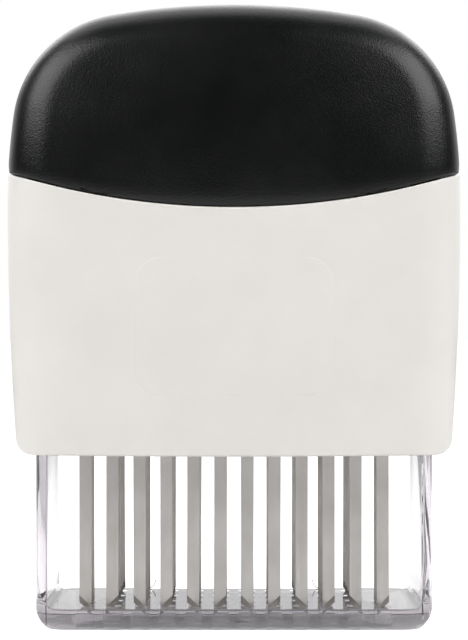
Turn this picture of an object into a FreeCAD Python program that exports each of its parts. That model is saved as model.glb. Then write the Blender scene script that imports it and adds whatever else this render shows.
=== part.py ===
"""Blade meat tenderizer, in millimetres.

The origin is on the floor under the middle of the clear guard. +Z is up, +X is to the right seen
from the front, and the front faces -Y. The housing and the cap are cut from one smooth outer form
by a curved parting line. Inside hangs the blade block: a frame, two clamping plates and four rows
of blades. The clear guard slides on four rods and springs push it down over the blades.
"""

import FreeCAD, Part
import math
import os

import Sketcher

# Driving sizes: name, value in mm or degrees, meaning
SIZES = [
    ("body_width", 104.4, "housing, widest"),
    ("body_depth", 47.0, "housing, front to back in the middle"),
    ("body_top", 142.8, "top of the cap above the floor"),
    ("widest_height", 96.0, "height at which the body is widest"),
    ("lower_side_radius", 760.0, "side line of the housing"),
    ("upper_side_radius", 170.0, "side line of the cap"),
    ("shoulder_radius", 27.0, "shoulder of the cap"),
    ("crown_radius", 176.0, "top line of the cap"),
    ("face_radius", 260.0, "bulge of the front and back, seen from above"),
    ("lean_height", 100.0, "height at which the faces start to lean in"),
    ("lean_radius", 120.0, "side view of the leaning faces"),
    ("edge_radius", 12.0, "rounding between the faces and the ends"),
    ("housing_bottom", 39.5, "lower rim of the housing"),
    ("housing_corner", 4.5, "lower corners of the housing, front view"),
    ("housing_wall", 2.2, "wall of the housing"),
    ("seam_height", 95.3, "parting line in the middle"),
    ("seam_radius", 168.0, "parting line, front view"),
    ("seam_gap", 0.1, "gap in the parting line"),
    ("cap_wall", 2.6, "wall of the cap"),
    ("dome_foot_drop", 32.0, "foot of the cap's hollow dome, below the top"),
    ("dome_foot_end", 5.6, "foot of the dome, in from the ends"),
    ("dome_foot_face", 5.0, "foot of the dome, in from the faces"),
    ("dome_foot_corner", 9.0, "foot of the dome, corners"),
    ("dome_waist_drop", 16.0, "middle of the dome, below the top"),
    ("dome_waist_end", 9.6, "middle of the dome, in from the ends"),
    ("dome_waist_face", 6.8, "middle of the dome, in from the faces"),
    ("dome_waist_corner", 8.0, "middle of the dome, corners"),
    ("dome_roof_drop", 7.0, "roof of the dome, below the top"),
    ("dome_roof_end", 22.0, "roof of the dome, in from the ends"),
    ("dome_roof_face", 11.5, "roof of the dome, in from the faces"),
    ("dome_roof_corner", 5.0, "roof of the dome, corners"),
    ("skirt_half_length", 34.0, "skirt inside each face, from the middle"),
    ("skirt_clearance", 0.15, "between the cap's skirt and the housing"),
    ("skirt_wall", 1.6, "wall of the cap's skirt"),
    ("skirt_bottom", 91.0, "lower edge of the skirt and of the screw bosses"),
    ("skirt_height", 16.0, "height of the skirt"),
    ("rib_thickness", 2.0, "cap ribs that bear on the frame"),
    ("rib_length", 12.0, "cap ribs, front to back"),
    ("rib_distance", 38.0, "between the two cap ribs"),
    ("rib_top", 6.0, "upper end of the ribs below the top of the cap"),
    ("boss_top", 24.0, "upper end of the cap's screw bosses below its top"),
    ("cap_screw_setback", 5.5, "cap screws, in from the deck's full-depth ends"),
    ("cap_screw_inset", 7.9, "cap screws, in from the faces"),
    ("cap_boss", 6.4, "diameter of the cap's screw bosses"),
    ("lug_thickness", 5.0, "screw lugs inside the housing"),
    ("cap_screw", 2.5, "shank diameter"),
    ("cap_screw_head", 5.0, "head diameter"),
    ("cap_screw_head_height", 1.6, "head height"),
    ("cap_screw_grip", 9.0, "length of shank in the boss"),
    ("screw_clearance", 0.1, "all round a screw shank"),
    ("guard_inset", 6.7, "clear guard, in from the housing's widest line"),
    ("guard_depth", 36.0, "clear guard"),
    ("guard_corner", 8.3, "vertical corners of the guard"),
    ("guard_toe", 5.0, "lower end corners, front view"),
    ("guard_plate", 4.67, "slotted plate"),
    ("guard_wall", 2.9, "end walls"),
    ("guard_fillet", 1.5, "between the plate and the end walls"),
    ("guard_height", 70.0, "top of the arms at rest"),
    ("guard_stroke", 28.0, "travel of the guard"),
    ("arm_gap", 17.0, "cut-out in each end wall for the button"),
    ("arm_gap_margin", 2.0, "that cut-out below the button when the guard is up"),
    ("tongue_width", 38.4, "rear tongue"),
    ("tongue_wall", 2.0, "rear tongue"),
    ("tongue_height", 62.0, "top of the rear tongue at rest"),
    ("tongue_fillet", 2.1, "foot of the rear tongue"),
    ("slot_width", 3.8, "slot for one blade"),
    ("slot_depth", 1.6, "slot for one blade"),
    ("lug_height", 4.0, "guard lugs on the guide rods"),
    ("lug_radius", 3.3, "guard lugs on the guide rods"),
    ("column_inset", 4.065, "end columns of blades, in from the guide rods"),
    ("row_pitch", 8.33, "between two rows"),
    ("blade_width", 2.85, "blade strip"),
    ("blade_thickness", 0.6, "blade strip"),
    ("blade_tip", 2.7, "lowest point of the blades"),
    ("bevel_height", 1.7, "ground bevel, square to the edge"),
    ("blade_land", 0.06, "flat left at the edge"),
    ("blade_fit", 0.05, "between a blade and its slot in the holder"),
    ("blade_tang", 3.5, "blade above the holder's joint"),
    ("holder_gap", 0.6, "between the blade holder and the guard's end walls"),
    ("holder_depth", 31.0, "blade holder"),
    ("holder_corner", 3.0, "blade holder"),
    ("holder_bottom", 46.0, "underside of the blade holder"),
    ("holder_plate", 5.0, "thickness of each of its two plates"),
    ("blade_rod", 1.6, "rod through one column of blades"),
    ("blade_rod_margin", 0.5, "holder beyond each end of a blade rod"),
    ("rod_clearance", 0.05, "all round a fixed rod"),
    ("guide_rod", 3.0, "diameter of the guide rods"),
    ("guide_inset", 4.6, "guide rods, in from the guard's end walls"),
    ("guide_y", 12.5, "guide rods, from the middle"),
    ("guide_clearance", 0.1, "all round a guide rod in the guard"),
    ("lower_seat", 3.0, "guide rod in the holder"),
    ("upper_seat", 2.0, "guide rod in the deck"),
    ("sleeve_diameter", 6.4, "stop sleeves"),
    ("deck_bottom", 106.0, "underside of the frame's deck"),
    ("deck_thickness", 3.0, "frame's deck"),
    ("deck_clearance", 1.4, "between the deck and the cap's screw bosses"),
    ("deck_end", 8.5, "length of the deck's full-depth ends"),
    ("spine_inset", 4.0, "frame's spine, in from the guide rods"),
    ("spine_thickness", 3.0, "frame's spine"),
    ("boss_diameter", 8.0, "frame's screw bosses"),
    ("holder_screw", 3.0, "shank diameter"),
    ("holder_screw_head", 5.4, "head diameter"),
    ("holder_screw_head_height", 1.8, "head height"),
    ("holder_screw_grip", 12.0, "length of shank in the frame"),
    ("window_width", 12.0, "button window in the housing, front to back"),
    ("window_height", 11.5, "button window in the housing"),
    ("window_centre", 81.25, "height of the button's middle"),
    ("window_corner", 2.0, "corners of the button window"),
    ("button_clearance", 0.2, "between a button and its window"),
    ("button_recess", 0.6, "button face below the housing's side"),
    ("flange_overlap", 1.5, "button flange behind the window's edge"),
    ("flange_thickness", 1.8, "button flange"),
    ("flange_gap", 0.3, "between the flange and the housing's wall"),
    ("stem_diameter", 5.0, "button stem"),
    ("stem_clearance", 0.1, "all round the stem in its bracket"),
    ("bracket_setback", 1.2, "outer face of the bracket, in from the holder's ends"),
    ("bracket_thickness", 2.0, "button bracket"),
    ("bracket_width", 13.0, "button bracket"),
    ("bracket_drop", 7.0, "button bracket below the stem's axis"),
    ("bracket_rib_bottom", 86.0, "rib between the spine and the bracket"),
    ("clip_thickness", 0.8, "clip on the stem"),
    ("clip_diameter", 8.0, "clip on the stem"),
    ("clip_groove", 0.4, "depth of the clip's groove"),
    ("clip_gap", 0.3, "between the clip and the bracket"),
    ("stem_end", 0.9, "stem beyond the clip"),
    ("guard_wire", 0.8, "guard spring"),
    ("guard_coil", 5.8, "guard spring, mean diameter"),
    ("guard_turns", 5, "guard spring"),
    ("button_wire", 0.6, "button spring"),
    ("button_coil", 6.4, "button spring, mean diameter"),
    ("button_turns", 3, "button spring"),
    ("spring_gap", 0.1, "between a spring's end and its seat"),
]


class Size:
    """A number together with the sheet expression that gives it."""

    def __init__(self, value, text):
        self.value = value
        self.text = text

    def __add__(self, other):
        other = as_size(other)
        return Size(self.value + other.value, f"({self.text} + {other.text})")

    def __radd__(self, other):
        return as_size(other) + self

    def __sub__(self, other):
        other = as_size(other)
        return Size(self.value - other.value, f"({self.text} - {other.text})")

    def __rsub__(self, other):
        return as_size(other) - self

    def __mul__(self, other):
        other = as_size(other)
        return Size(self.value * other.value, f"({self.text} * {other.text})")

    def __rmul__(self, other):
        return as_size(other) * self

    def __truediv__(self, other):
        other = as_size(other)
        return Size(self.value / other.value, f"({self.text} / {other.text})")

    def __neg__(self):
        return Size(-self.value, f"(0 - {self.text})")


def as_size(number):
    """Lets plain numbers such as signs and counts stand in for sizes."""
    if isinstance(number, Size):
        return number
    return Size(float(number), repr(float(number)))


def root(size):
    return Size(math.sqrt(size.value), f"sqrt({size.text})")


class Sheet:
    """The sheet of driving sizes; each one is read as an attribute."""

    def __init__(self, document):
        cells = document.addObject("Spreadsheet::Sheet", "Sizes")
        for row, (name, value, meaning) in enumerate(SIZES, 1):
            cells.set(f"A{row}", meaning)
            cells.set(f"B{row}", str(value))
            cells.setAlias(f"B{row}", name)
            setattr(self, name, Size(float(value), f"Sizes.{name}"))


document = FreeCAD.newDocument("Tenderizer")
d = Sheet(document)
document.recompute()
PIECES = []

# Columns of blades in the longest rows
COLUMNS = 12

# Widths that follow the housing's, each placed in from the one outside it
d.guard_width = d.body_width - d.guard_inset * 2
d.guide_x = d.guard_width / 2 - d.guard_wall - d.guide_inset
d.holder_width = d.guard_width - (d.guard_wall + d.holder_gap) * 2
d.bracket_outside = d.holder_width / 2 - d.bracket_setback
d.spine_width = (d.guide_x - d.spine_inset) * 2
d.cap_screw_x = d.holder_width / 2 - d.deck_end - d.cap_screw_setback
d.blade_pitch = (d.guide_x - d.column_inset) * 2 / (COLUMNS - 1)

# The guard's end walls pass the button's flange over the whole stroke
flange_bottom = d.window_centre - d.window_height / 2 - d.flange_overlap
d.arm_gap_bottom = flange_bottom - d.guard_stroke - d.arm_gap_margin


def bind(thing, path, size):
    """Ties one property of an object to the sheet."""
    size = as_size(size)
    if "Sizes." in size.text:
        thing.setExpression(path, size.text)
    return size.value


def piece(thing, name):
    """Marks an object as one piece of the tenderizer; its label names its file."""
    thing.Label = name
    PIECES.append(thing)
    return thing


# Sketches


class Drawing:
    """A sketch on one of a body's own planes, with dimensions tied to the sheet."""

    def __init__(self, body, plane, name, offset=0, middle=None, turn=0):
        self.sketch = body.newObject("Sketcher::SketchObject", name)
        support = next(f for f in body.Origin.OriginFeatures if f.Role == plane)
        self.sketch.AttachmentSupport = [(support, "")]
        self.sketch.MapMode = "FlatFace"
        across, up = middle if middle else (0, 0)
        place = FreeCAD.Vector(as_size(across).value, as_size(up).value, as_size(offset).value)
        tilt = FreeCAD.Rotation(FreeCAD.Vector(1, 0, 0), turn)
        self.sketch.AttachmentOffset = FreeCAD.Placement(place, tilt)
        bind(self.sketch, "AttachmentOffset.Base.x", across)
        bind(self.sketch, "AttachmentOffset.Base.y", up)
        bind(self.sketch, "AttachmentOffset.Base.z", offset)

    def fix(self, kind, where, size):
        """One dimension, named so that it can follow the sheet."""
        size = as_size(size)
        index = self.sketch.addConstraint(Sketcher.Constraint(kind, *where, size.value))
        self.sketch.renameConstraint(index, f"size{index}")
        bind(self.sketch, f"Constraints.size{index}", size)

    def relate(self, kind, *where):
        self.sketch.addConstraint(Sketcher.Constraint(kind, *where))

    def line(self, start, end, construction=False):
        a, b = [FreeCAD.Vector(as_size(p[0]).value, as_size(p[1]).value, 0) for p in (start, end)]
        return self.sketch.addGeometry(Part.LineSegment(a, b), construction)

    def arc(self, centre, radius, start, end):
        """An arc from one angle to the next, in radians, anticlockwise."""
        middle = FreeCAD.Vector(centre[0], centre[1], 0)
        circle = Part.Circle(middle, FreeCAD.Vector(0, 0, 1), radius)
        return self.sketch.addGeometry(Part.ArcOfCircle(circle, start, end), False)

    def polygon(self, points):
        """A closed run of straight lines with every corner placed."""
        count = len(points)
        lines = [self.line(points[i], points[(i + 1) % count]) for i in range(count)]
        for i, line in enumerate(lines):
            self.relate("Coincident", line, 2, lines[(i + 1) % count], 1)
            self.fix("DistanceX", (line, 1), points[i][0])
            self.fix("DistanceY", (line, 1), points[i][1])
        return self

    def rectangle(self, left, right, low, high):
        return self.polygon([(left, low), (right, low), (right, high), (left, high)])

    def circle(self, x, y, radius):
        x, y, radius = as_size(x), as_size(y), as_size(radius)
        middle = FreeCAD.Vector(x.value, y.value, 0)
        circle = Part.Circle(middle, FreeCAD.Vector(0, 0, 1), radius.value)
        index = self.sketch.addGeometry(circle, False)
        self.fix("DistanceX", (index, 3), x)
        self.fix("DistanceY", (index, 3), y)
        self.fix("Radius", (index,), radius)
        return self

    def rounded_rectangle(self, half_x, half_y, radius, x=0, y=0):
        """A rectangle with four tangent corner arcs."""
        x, y = as_size(x), as_size(y)
        right, left, top, low = x + half_x, x - half_x, y + half_y, y - half_y
        corners = [
            (right - radius, low + radius, -90),
            (right - radius, top - radius, 0),
            (left + radius, top - radius, 90),
            (left + radius, low + radius, 180),
        ]
        sides = [
            self.line((left + radius, low), (right - radius, low)),
            self.line((right, low + radius), (right, top - radius)),
            self.line((right - radius, top), (left + radius, top)),
            self.line((left, top - radius), (left, low + radius)),
        ]
        arcs = []
        for centre_x, centre_y, start in corners:
            centre = (centre_x.value, centre_y.value)
            first = math.radians(start)
            arcs.append(self.arc(centre, as_size(radius).value, first, first + math.pi / 2))
        for i in range(4):
            self.relate("Tangent", sides[i], 2, arcs[i], 1)
            self.relate("Tangent", arcs[i], 2, sides[(i + 1) % 4], 1)
            self.relate("Vertical" if i % 2 else "Horizontal", sides[i])
            self.fix("Radius", (arcs[i],), radius)
        self.fix("DistanceY", (sides[0], 1), low)
        self.fix("DistanceX", (sides[1], 1), right)
        self.fix("DistanceY", (sides[2], 1), top)
        self.fix("DistanceX", (sides[3], 1), left)
        return self


# Features


def new_body(name):
    body = document.addObject("PartDesign::Body", name)
    body.AllowCompound = True
    return body


def feature(body, kind, name, drawing, length, symmetric, backward):
    thing = body.newObject(f"PartDesign::{kind}", name)
    thing.Profile = drawing.sketch
    if length is None:
        thing.Type = "ThroughAll"
    else:
        thing.Length = bind(thing, "Length", length)
    if symmetric:
        thing.SideType = "Symmetric"
    thing.Reversed = backward
    return thing


def pad(body, name, drawing, length, symmetric=False, backward=False):
    return feature(body, "Pad", name, drawing, length, symmetric, backward)


def pocket(body, name, drawing, length=None, symmetric=False, backward=False):
    """Cuts the drawing out of the body and makes sure that something was cut."""
    document.recompute()
    before = body.Shape.Volume
    thing = feature(body, "Pocket", name, drawing, length, symmetric, backward)
    document.recompute()
    if body.Shape.Volume > before - 1e-3:
        raise RuntimeError(f"{name} cuts nothing")
    return thing


def line_pattern(body, name, originals, axis, step, count):
    """Repeats features along one of the body's axes."""
    thing = body.newObject("PartDesign::LinearPattern", name)
    thing.Originals = originals
    direction = next(f for f in body.Origin.OriginFeatures if f.Role == axis)
    thing.Direction = (direction, [""])
    thing.Length = bind(thing, "Length", step * (count - 1))
    thing.Occurrences = count
    body.Tip = thing
    return thing


def mirror(body, name, originals, plane):
    thing = body.newObject("PartDesign::Mirrored", name)
    thing.Originals = originals
    support = next(f for f in body.Origin.OriginFeatures if f.Role == plane)
    thing.MirrorPlane = (support, [""])
    body.Tip = thing
    return thing


def fillet(body, name, radius, wanted):
    """Rounds the edges of the body's last feature that pass a test."""
    document.recompute()
    base = body.Tip
    edges = base.Shape.Edges
    thing = body.newObject("PartDesign::Fillet", name)
    thing.Base = (base, [f"Edge{i + 1}" for i, edge in enumerate(edges) if wanted(edge)])
    thing.Radius = bind(thing, "Radius", radius)
    return thing


def place(thing, x=0, y=0, z=0, turn=None):
    """Puts a primitive at bound coordinates, turned about one axis if need be."""
    rotation = FreeCAD.Rotation(turn[0], turn[1]) if turn else FreeCAD.Rotation()
    values = [as_size(c).value for c in (x, y, z)]
    thing.Placement = FreeCAD.Placement(FreeCAD.Vector(*values), rotation)
    bind(thing, "Placement.Base.x", x)
    bind(thing, "Placement.Base.y", y)
    bind(thing, "Placement.Base.z", z)
    return thing


def cylinder(name, diameter, height, x=0, y=0, z=0, turn=None):
    thing = document.addObject("Part::Cylinder", name)
    thing.Radius = bind(thing, "Radius", as_size(diameter) / 2)
    thing.Height = bind(thing, "Height", height)
    return place(thing, x, y, z, turn)


def combine(kind, name, parts):
    """A fusion or a group of objects."""
    thing = document.addObject(f"Part::{kind}", name)
    if kind == "Compound":
        thing.Links = parts
    else:
        thing.Shapes = parts
    return thing


def cut(name, base, tool):
    thing = document.addObject("Part::Cut", name)
    thing.Base = base
    thing.Tool = tool
    return thing


# Outer form of the housing and the cap


def circle_crossing(a, reach_a, b, reach_b):
    """The right-hand point that lies at two given distances from two centres."""
    dx, dz = b[0] - a[0], b[1] - a[1]
    apart = math.hypot(dx, dz)
    along = (reach_a**2 - reach_b**2 + apart**2) / (2 * apart)
    off = math.sqrt(reach_a**2 - along**2)
    middle = (a[0] + along * dx / apart, a[1] + along * dz / apart)
    spots = [(middle[0] + s * off * dz / apart, middle[1] - s * off * dx / apart) for s in (1, -1)]
    return max(spots)


def front_outline(drawing, inset, bottom):
    """Front view of the body: side arcs, shoulder arcs and a crown arc, all tangent."""
    width = d.body_width / 2 - inset
    low_radius = d.lower_side_radius - inset
    high_radius = d.upper_side_radius - inset
    shoulder = d.shoulder_radius - inset
    crown = d.crown_radius - inset
    low_centre = (width - low_radius, d.widest_height)
    high_centre = (width - high_radius, d.widest_height)
    crown_centre = (0.0, (d.body_top - d.crown_radius).value)
    spot = (high_centre[0].value, high_centre[1].value)
    turn_centre = circle_crossing(
        spot, (high_radius - shoulder).value, crown_centre, (crown - shoulder).value
    )
    high_turn = math.atan2(turn_centre[1] - spot[1], turn_centre[0] - spot[0])
    crown_turn = math.atan2(turn_centre[1] - crown_centre[1], turn_centre[0] - crown_centre[0])
    drop = math.asin((d.widest_height - bottom).value / low_radius.value)
    sides = {}
    for side in (1, -1):

        def arc(centre, radius, start, end, side=side):
            if side > 0:
                return drawing.arc(centre, radius, start, end)
            return drawing.arc((-centre[0], centre[1]), radius, math.pi - end, math.pi - start)

        low = arc((low_centre[0].value, spot[1]), low_radius.value, -drop, 0)
        high = arc(spot, high_radius.value, 0, high_turn)
        bend = arc(turn_centre, shoulder.value, high_turn, crown_turn)
        drawing.fix("Radius", (low,), low_radius)
        drawing.fix("Radius", (high,), high_radius)
        drawing.fix("Radius", (bend,), shoulder)
        drawing.fix("DistanceX", (low, 3), low_centre[0] * side)
        drawing.fix("DistanceY", (low, 3), low_centre[1])
        drawing.fix("DistanceY", (high, 3), high_centre[1])
        sides[side] = (low, high, bend)
    top = drawing.arc(crown_centre, crown.value, crown_turn, math.pi - crown_turn)
    drawing.fix("Radius", (top,), crown)
    drawing.fix("DistanceX", (top, 3), 0)
    drawing.fix("DistanceY", (top, 3), d.body_top - d.crown_radius)
    foot = width.value - low_radius.value * (1 - math.cos(drop))
    base = drawing.line((-foot, bottom), (foot, bottom))
    low, high, bend = sides[1]
    drawing.relate("Coincident", base, 2, low, 1)
    drawing.relate("Tangent", low, 2, high, 1)
    drawing.relate("Tangent", high, 2, bend, 1)
    drawing.relate("Tangent", bend, 2, top, 1)
    low, high, bend = sides[-1]
    drawing.relate("Tangent", top, 2, bend, 1)
    drawing.relate("Tangent", bend, 2, high, 1)
    drawing.relate("Tangent", high, 2, low, 1)
    drawing.relate("Coincident", low, 2, base, 1)
    drawing.fix("DistanceY", (base, 1), bottom)
    drawing.fix("DistanceY", (base, 2), bottom)


def face_cutter(drawing, inset, bottom):
    """What lies in front of the body in the side view, and the axis it turns about."""
    front = -(d.body_depth / 2 - inset)
    lean = d.lean_radius - inset
    top = d.body_top + 3
    below = bottom - 3
    outside = front - 12
    centre = ((front + lean).value, d.lean_height.value)
    rise = math.asin((top - d.lean_height).value / lean.value)
    end = (centre[0] - lean.value * math.cos(rise), top.value)
    axis_y = front + d.face_radius - inset
    wall = drawing.line((front, below), (front, d.lean_height))
    arc = drawing.arc(centre, lean.value, math.pi - rise, math.pi)
    lid = drawing.line(end, (outside.value, top.value))
    back = drawing.line((outside, top), (outside, below))
    floor = drawing.line((outside, below), (front, below))
    drawing.relate("Tangent", wall, 2, arc, 2)
    drawing.relate("Coincident", arc, 1, lid, 1)
    drawing.relate("Coincident", lid, 2, back, 1)
    drawing.relate("Coincident", back, 2, floor, 1)
    drawing.relate("Coincident", floor, 2, wall, 1)
    drawing.fix("Radius", (arc,), lean)
    drawing.fix("DistanceX", (wall, 1), front)
    drawing.fix("DistanceY", (wall, 1), below)
    drawing.fix("DistanceX", (wall, 2), front)
    drawing.fix("DistanceY", (wall, 2), d.lean_height)
    drawing.fix("DistanceY", (lid, 1), top)
    drawing.fix("DistanceX", (back, 1), outside)
    drawing.fix("DistanceY", (back, 1), top)
    drawing.fix("DistanceX", (back, 2), outside)
    drawing.fix("DistanceY", (back, 2), below)
    axis = drawing.line((axis_y, below), (axis_y, top), construction=True)
    for end_point, height in ((1, below), (2, top)):
        drawing.fix("DistanceX", (axis, end_point), axis_y)
        drawing.fix("DistanceY", (axis, end_point), height)


def outer_form(name, inset, bottom):
    """The smooth body as one solid, its whole skin moved inwards by the inset."""
    inset = as_size(inset)
    body = new_body(name)
    outline = Drawing(body, "XZ_Plane", f"{name}_outline")
    front_outline(outline, inset, bottom)
    pad(body, f"{name}_block", outline, d.body_depth + 2, symmetric=True)
    profile = Drawing(body, "YZ_Plane", f"{name}_profile")
    face_cutter(profile, inset, bottom)
    document.recompute()
    face = body.newObject("PartDesign::Groove", f"{name}_face")
    face.Profile = profile.sketch
    face.ReferenceAxis = (profile.sketch, ["Axis0"])
    face.Angle = 40
    face.Midplane = True
    mirror(body, f"{name}_faces", [face], "XZ_Plane")

    def runs_up(edge):
        return edge.BoundBox.ZLength > 0.5 and edge.BoundBox.YLength < d.body_depth.value / 2

    fillet(body, f"{name}_edges", d.edge_radius - inset, runs_up)
    return body


def seam_region(drawing, above, shift):
    """Everything on one side of the parting line, which is an arc seen from the front."""
    reach = d.body_width
    radius = d.seam_radius
    low = d.seam_height + shift
    centre = (0.0, (low + radius).value)
    half = math.asin((reach / 2 + 2).value / radius.value)
    line_end = (reach / 2 + 2, centre[1] - radius.value * math.cos(half))
    limit = d.body_top + 6 if above else d.housing_bottom - 6
    arc = drawing.arc(centre, radius.value, -math.pi / 2 - half, -math.pi / 2 + half)
    side = drawing.line(line_end, (reach / 2 + 2, limit))
    lid = drawing.line((reach / 2 + 2, limit), (-(reach / 2 + 2), limit))
    other = drawing.line((-(reach / 2 + 2), limit), (-line_end[0], line_end[1]))
    drawing.relate("Coincident", arc, 2, side, 1)
    drawing.relate("Coincident", side, 2, lid, 1)
    drawing.relate("Coincident", lid, 2, other, 1)
    drawing.relate("Coincident", other, 2, arc, 1)
    drawing.fix("Radius", (arc,), radius)
    drawing.fix("DistanceX", (arc, 3), 0)
    drawing.fix("DistanceY", (arc, 3), low + radius)
    drawing.fix("DistanceX", (side, 1), reach / 2 + 2)
    drawing.fix("DistanceX", (side, 2), reach / 2 + 2)
    drawing.fix("DistanceY", (side, 2), limit)
    drawing.fix("DistanceX", (other, 1), -(reach / 2 + 2))
    drawing.fix("DistanceX", (other, 2), -(reach / 2 + 2))
    drawing.fix("DistanceY", (other, 1), limit)


def side_half_width(height):
    """Half the housing's width at a height below its widest line."""
    rise = d.widest_height - height
    radius = d.lower_side_radius
    return d.body_width / 2 - radius + root(radius * radius - rise * rise)


def foot_half_width():
    return side_half_width(d.housing_bottom)


def inner_plan(drawing, inset):
    """The body's foot seen from above, moved in: bulged faces, straight ends, round corners."""
    face = d.face_radius - inset
    corner = d.edge_radius - inset
    end = foot_half_width() - inset
    middle = d.body_depth / 2 - d.face_radius
    corner_x = end - corner
    reach = face - corner
    corner_y = middle + root(reach * reach - corner_x * corner_x)
    turn = math.atan2((corner_y - middle).value, corner_x.value)
    runs = []
    for side in (1, -1):
        start = 0 if side > 0 else math.pi
        near = (corner_x.value * side, corner_y.value * side)
        far = (-corner_x.value * side, corner_y.value * side)
        first = drawing.arc(near, corner.value, start, start + turn)
        bulge = drawing.arc(
            (0, middle.value * side), face.value, start + turn, start + math.pi - turn
        )
        last = drawing.arc(far, corner.value, start + math.pi - turn, start + math.pi)
        line = drawing.line((-end * side, corner_y * side), (-end * side, -corner_y * side))
        drawing.fix("Radius", (first,), corner)
        drawing.fix("Radius", (bulge,), face)
        drawing.fix("Radius", (last,), corner)
        drawing.fix("DistanceX", (bulge, 3), 0)
        drawing.fix("DistanceY", (bulge, 3), middle * side)
        drawing.fix("DistanceX", (line, 1), -end * side)
        drawing.relate("Vertical", line)
        runs += [first, bulge, last, line]
    for i, run in enumerate(runs):
        drawing.relate("Tangent", run, 2, runs[(i + 1) % len(runs)], 1)


# Housing and cap


def corners(size_x, size_y):
    """The four mirrored places of a point."""
    return [(size_x * i, size_y * j) for j in (-1, 1) for i in (-1, 1)]


def cap_screw_y():
    return d.body_depth / 2 - d.cap_screw_inset


def housing_shell():
    """White moulded housing: open below, closed by the cap, with two button windows."""
    body = outer_form("housing_form", 0, d.housing_bottom)
    seam = Drawing(body, "XZ_Plane", "housing_seam")
    seam_region(seam, True, 0)
    pocket(body, "housing_top", seam, symmetric=True)
    room = Drawing(body, "XY_Plane", "housing_room_plan", d.housing_bottom - 1)
    inner_plan(room, d.housing_wall)
    pocket(body, "housing_room", room, d.body_top, backward=True)
    lugs = new_body("housing_lugs")
    plan = Drawing(lugs, "XY_Plane", "lug_plan", d.skirt_bottom)
    reach = d.body_depth / 2 - d.housing_wall / 2
    for x, sign in [(d.cap_screw_x * i, j) for j in (-1, 1) for i in (-1, 1)]:
        inner = (cap_screw_y() - d.cap_boss / 2) * sign
        outer = (reach - 1.6) * sign
        plan.rectangle(x - d.cap_boss / 2, x + d.cap_boss / 2, inner, outer)
    pad(lugs, "lug_pad", plan, d.lug_thickness, backward=True)
    whole = combine("MultiFuse", "housing_whole", [body, lugs])
    tools = new_body("housing_tools")
    window = Drawing(tools, "YZ_Plane", "window_outline")
    window.rounded_rectangle(
        d.window_width / 2, d.window_height / 2, d.window_corner, 0, d.window_centre
    )
    pad(tools, "window_pad", window, d.body_width + 10, symmetric=True)
    holes = Drawing(tools, "XY_Plane", "lug_holes", d.skirt_bottom + 1)
    for x, y in corners(d.cap_screw_x, cap_screw_y()):
        holes.circle(x, y, d.cap_screw / 2 + d.screw_clearance)
    pad(tools, "lug_hole_pad", holes, d.lug_thickness + 2, backward=True)
    corner = Drawing(tools, "XZ_Plane", "corner_outline")
    foot = d.housing_bottom
    touch = side_half_width(foot + d.housing_corner)
    for side in (1, -1):
        corner_cutter(corner, side, touch, foot, d.housing_corner, d.body_width / 2)
    pad(tools, "corner_pad", corner, d.body_depth + 4, symmetric=True)
    return piece(cut("housing_result", whole, tools), "housing_shell")


def corner_cutter(drawing, side, half_width, low, radius, outside):
    """The waste outside a rounded lower corner, seen from the front."""
    centre = (half_width - radius, low + radius)
    spot = (centre[0].value * side, centre[1].value)
    start = -math.pi / 2 if side > 0 else math.pi
    arc = drawing.arc(spot, radius.value, start, start + math.pi / 2)
    beyond = (outside + 3) * side
    below = low - 3
    on_side, on_foot = (2, 1) if side > 0 else (1, 2)
    touch = (half_width * side, centre[1])
    foot = (centre[0] * side, low)
    lines = [
        drawing.line(touch, (beyond, centre[1])),
        drawing.line((beyond, centre[1]), (beyond, below)),
        drawing.line((beyond, below), (centre[0] * side, below)),
        drawing.line((centre[0] * side, below), foot),
    ]
    drawing.relate("Coincident", lines[0], 1, arc, on_side)
    for first, second in zip(lines, lines[1:]):
        drawing.relate("Coincident", first, 2, second, 1)
    drawing.relate("Coincident", lines[3], 2, arc, on_foot)
    drawing.fix("DistanceX", (arc, 3), centre[0] * side)
    drawing.fix("DistanceY", (arc, 3), centre[1])
    drawing.fix("Radius", (arc,), radius)
    drawing.relate("Horizontal", lines[0])
    drawing.relate("Vertical", lines[3])
    drawing.fix("DistanceY", (lines[0], 1), centre[1])
    drawing.fix("DistanceX", (lines[3], 2), centre[0] * side)
    drawing.fix("DistanceX", (lines[1], 1), beyond)
    drawing.fix("DistanceX", (lines[1], 2), beyond)
    drawing.fix("DistanceY", (lines[1], 2), below)
    drawing.fix("DistanceY", (lines[2], 2), below)


# The cap's hollow above the deck: below the top, in from the ends, in from the faces, corner
DOME = [
    (d.dome_foot_drop, d.dome_foot_end, d.dome_foot_face, d.dome_foot_corner),
    (d.dome_waist_drop, d.dome_waist_end, d.dome_waist_face, d.dome_waist_corner),
    (d.dome_roof_drop, d.dome_roof_end, d.dome_roof_face, d.dome_roof_corner),
]


def dome_section(body, step, drop, in_from_ends, in_from_faces, corner):
    drawing = Drawing(body, "XY_Plane", f"dome_plan_{step}", d.body_top - drop)
    half_x = d.body_width / 2 - in_from_ends
    half_y = d.body_depth / 2 - in_from_faces
    return drawing.rounded_rectangle(half_x, half_y, corner).sketch


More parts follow.
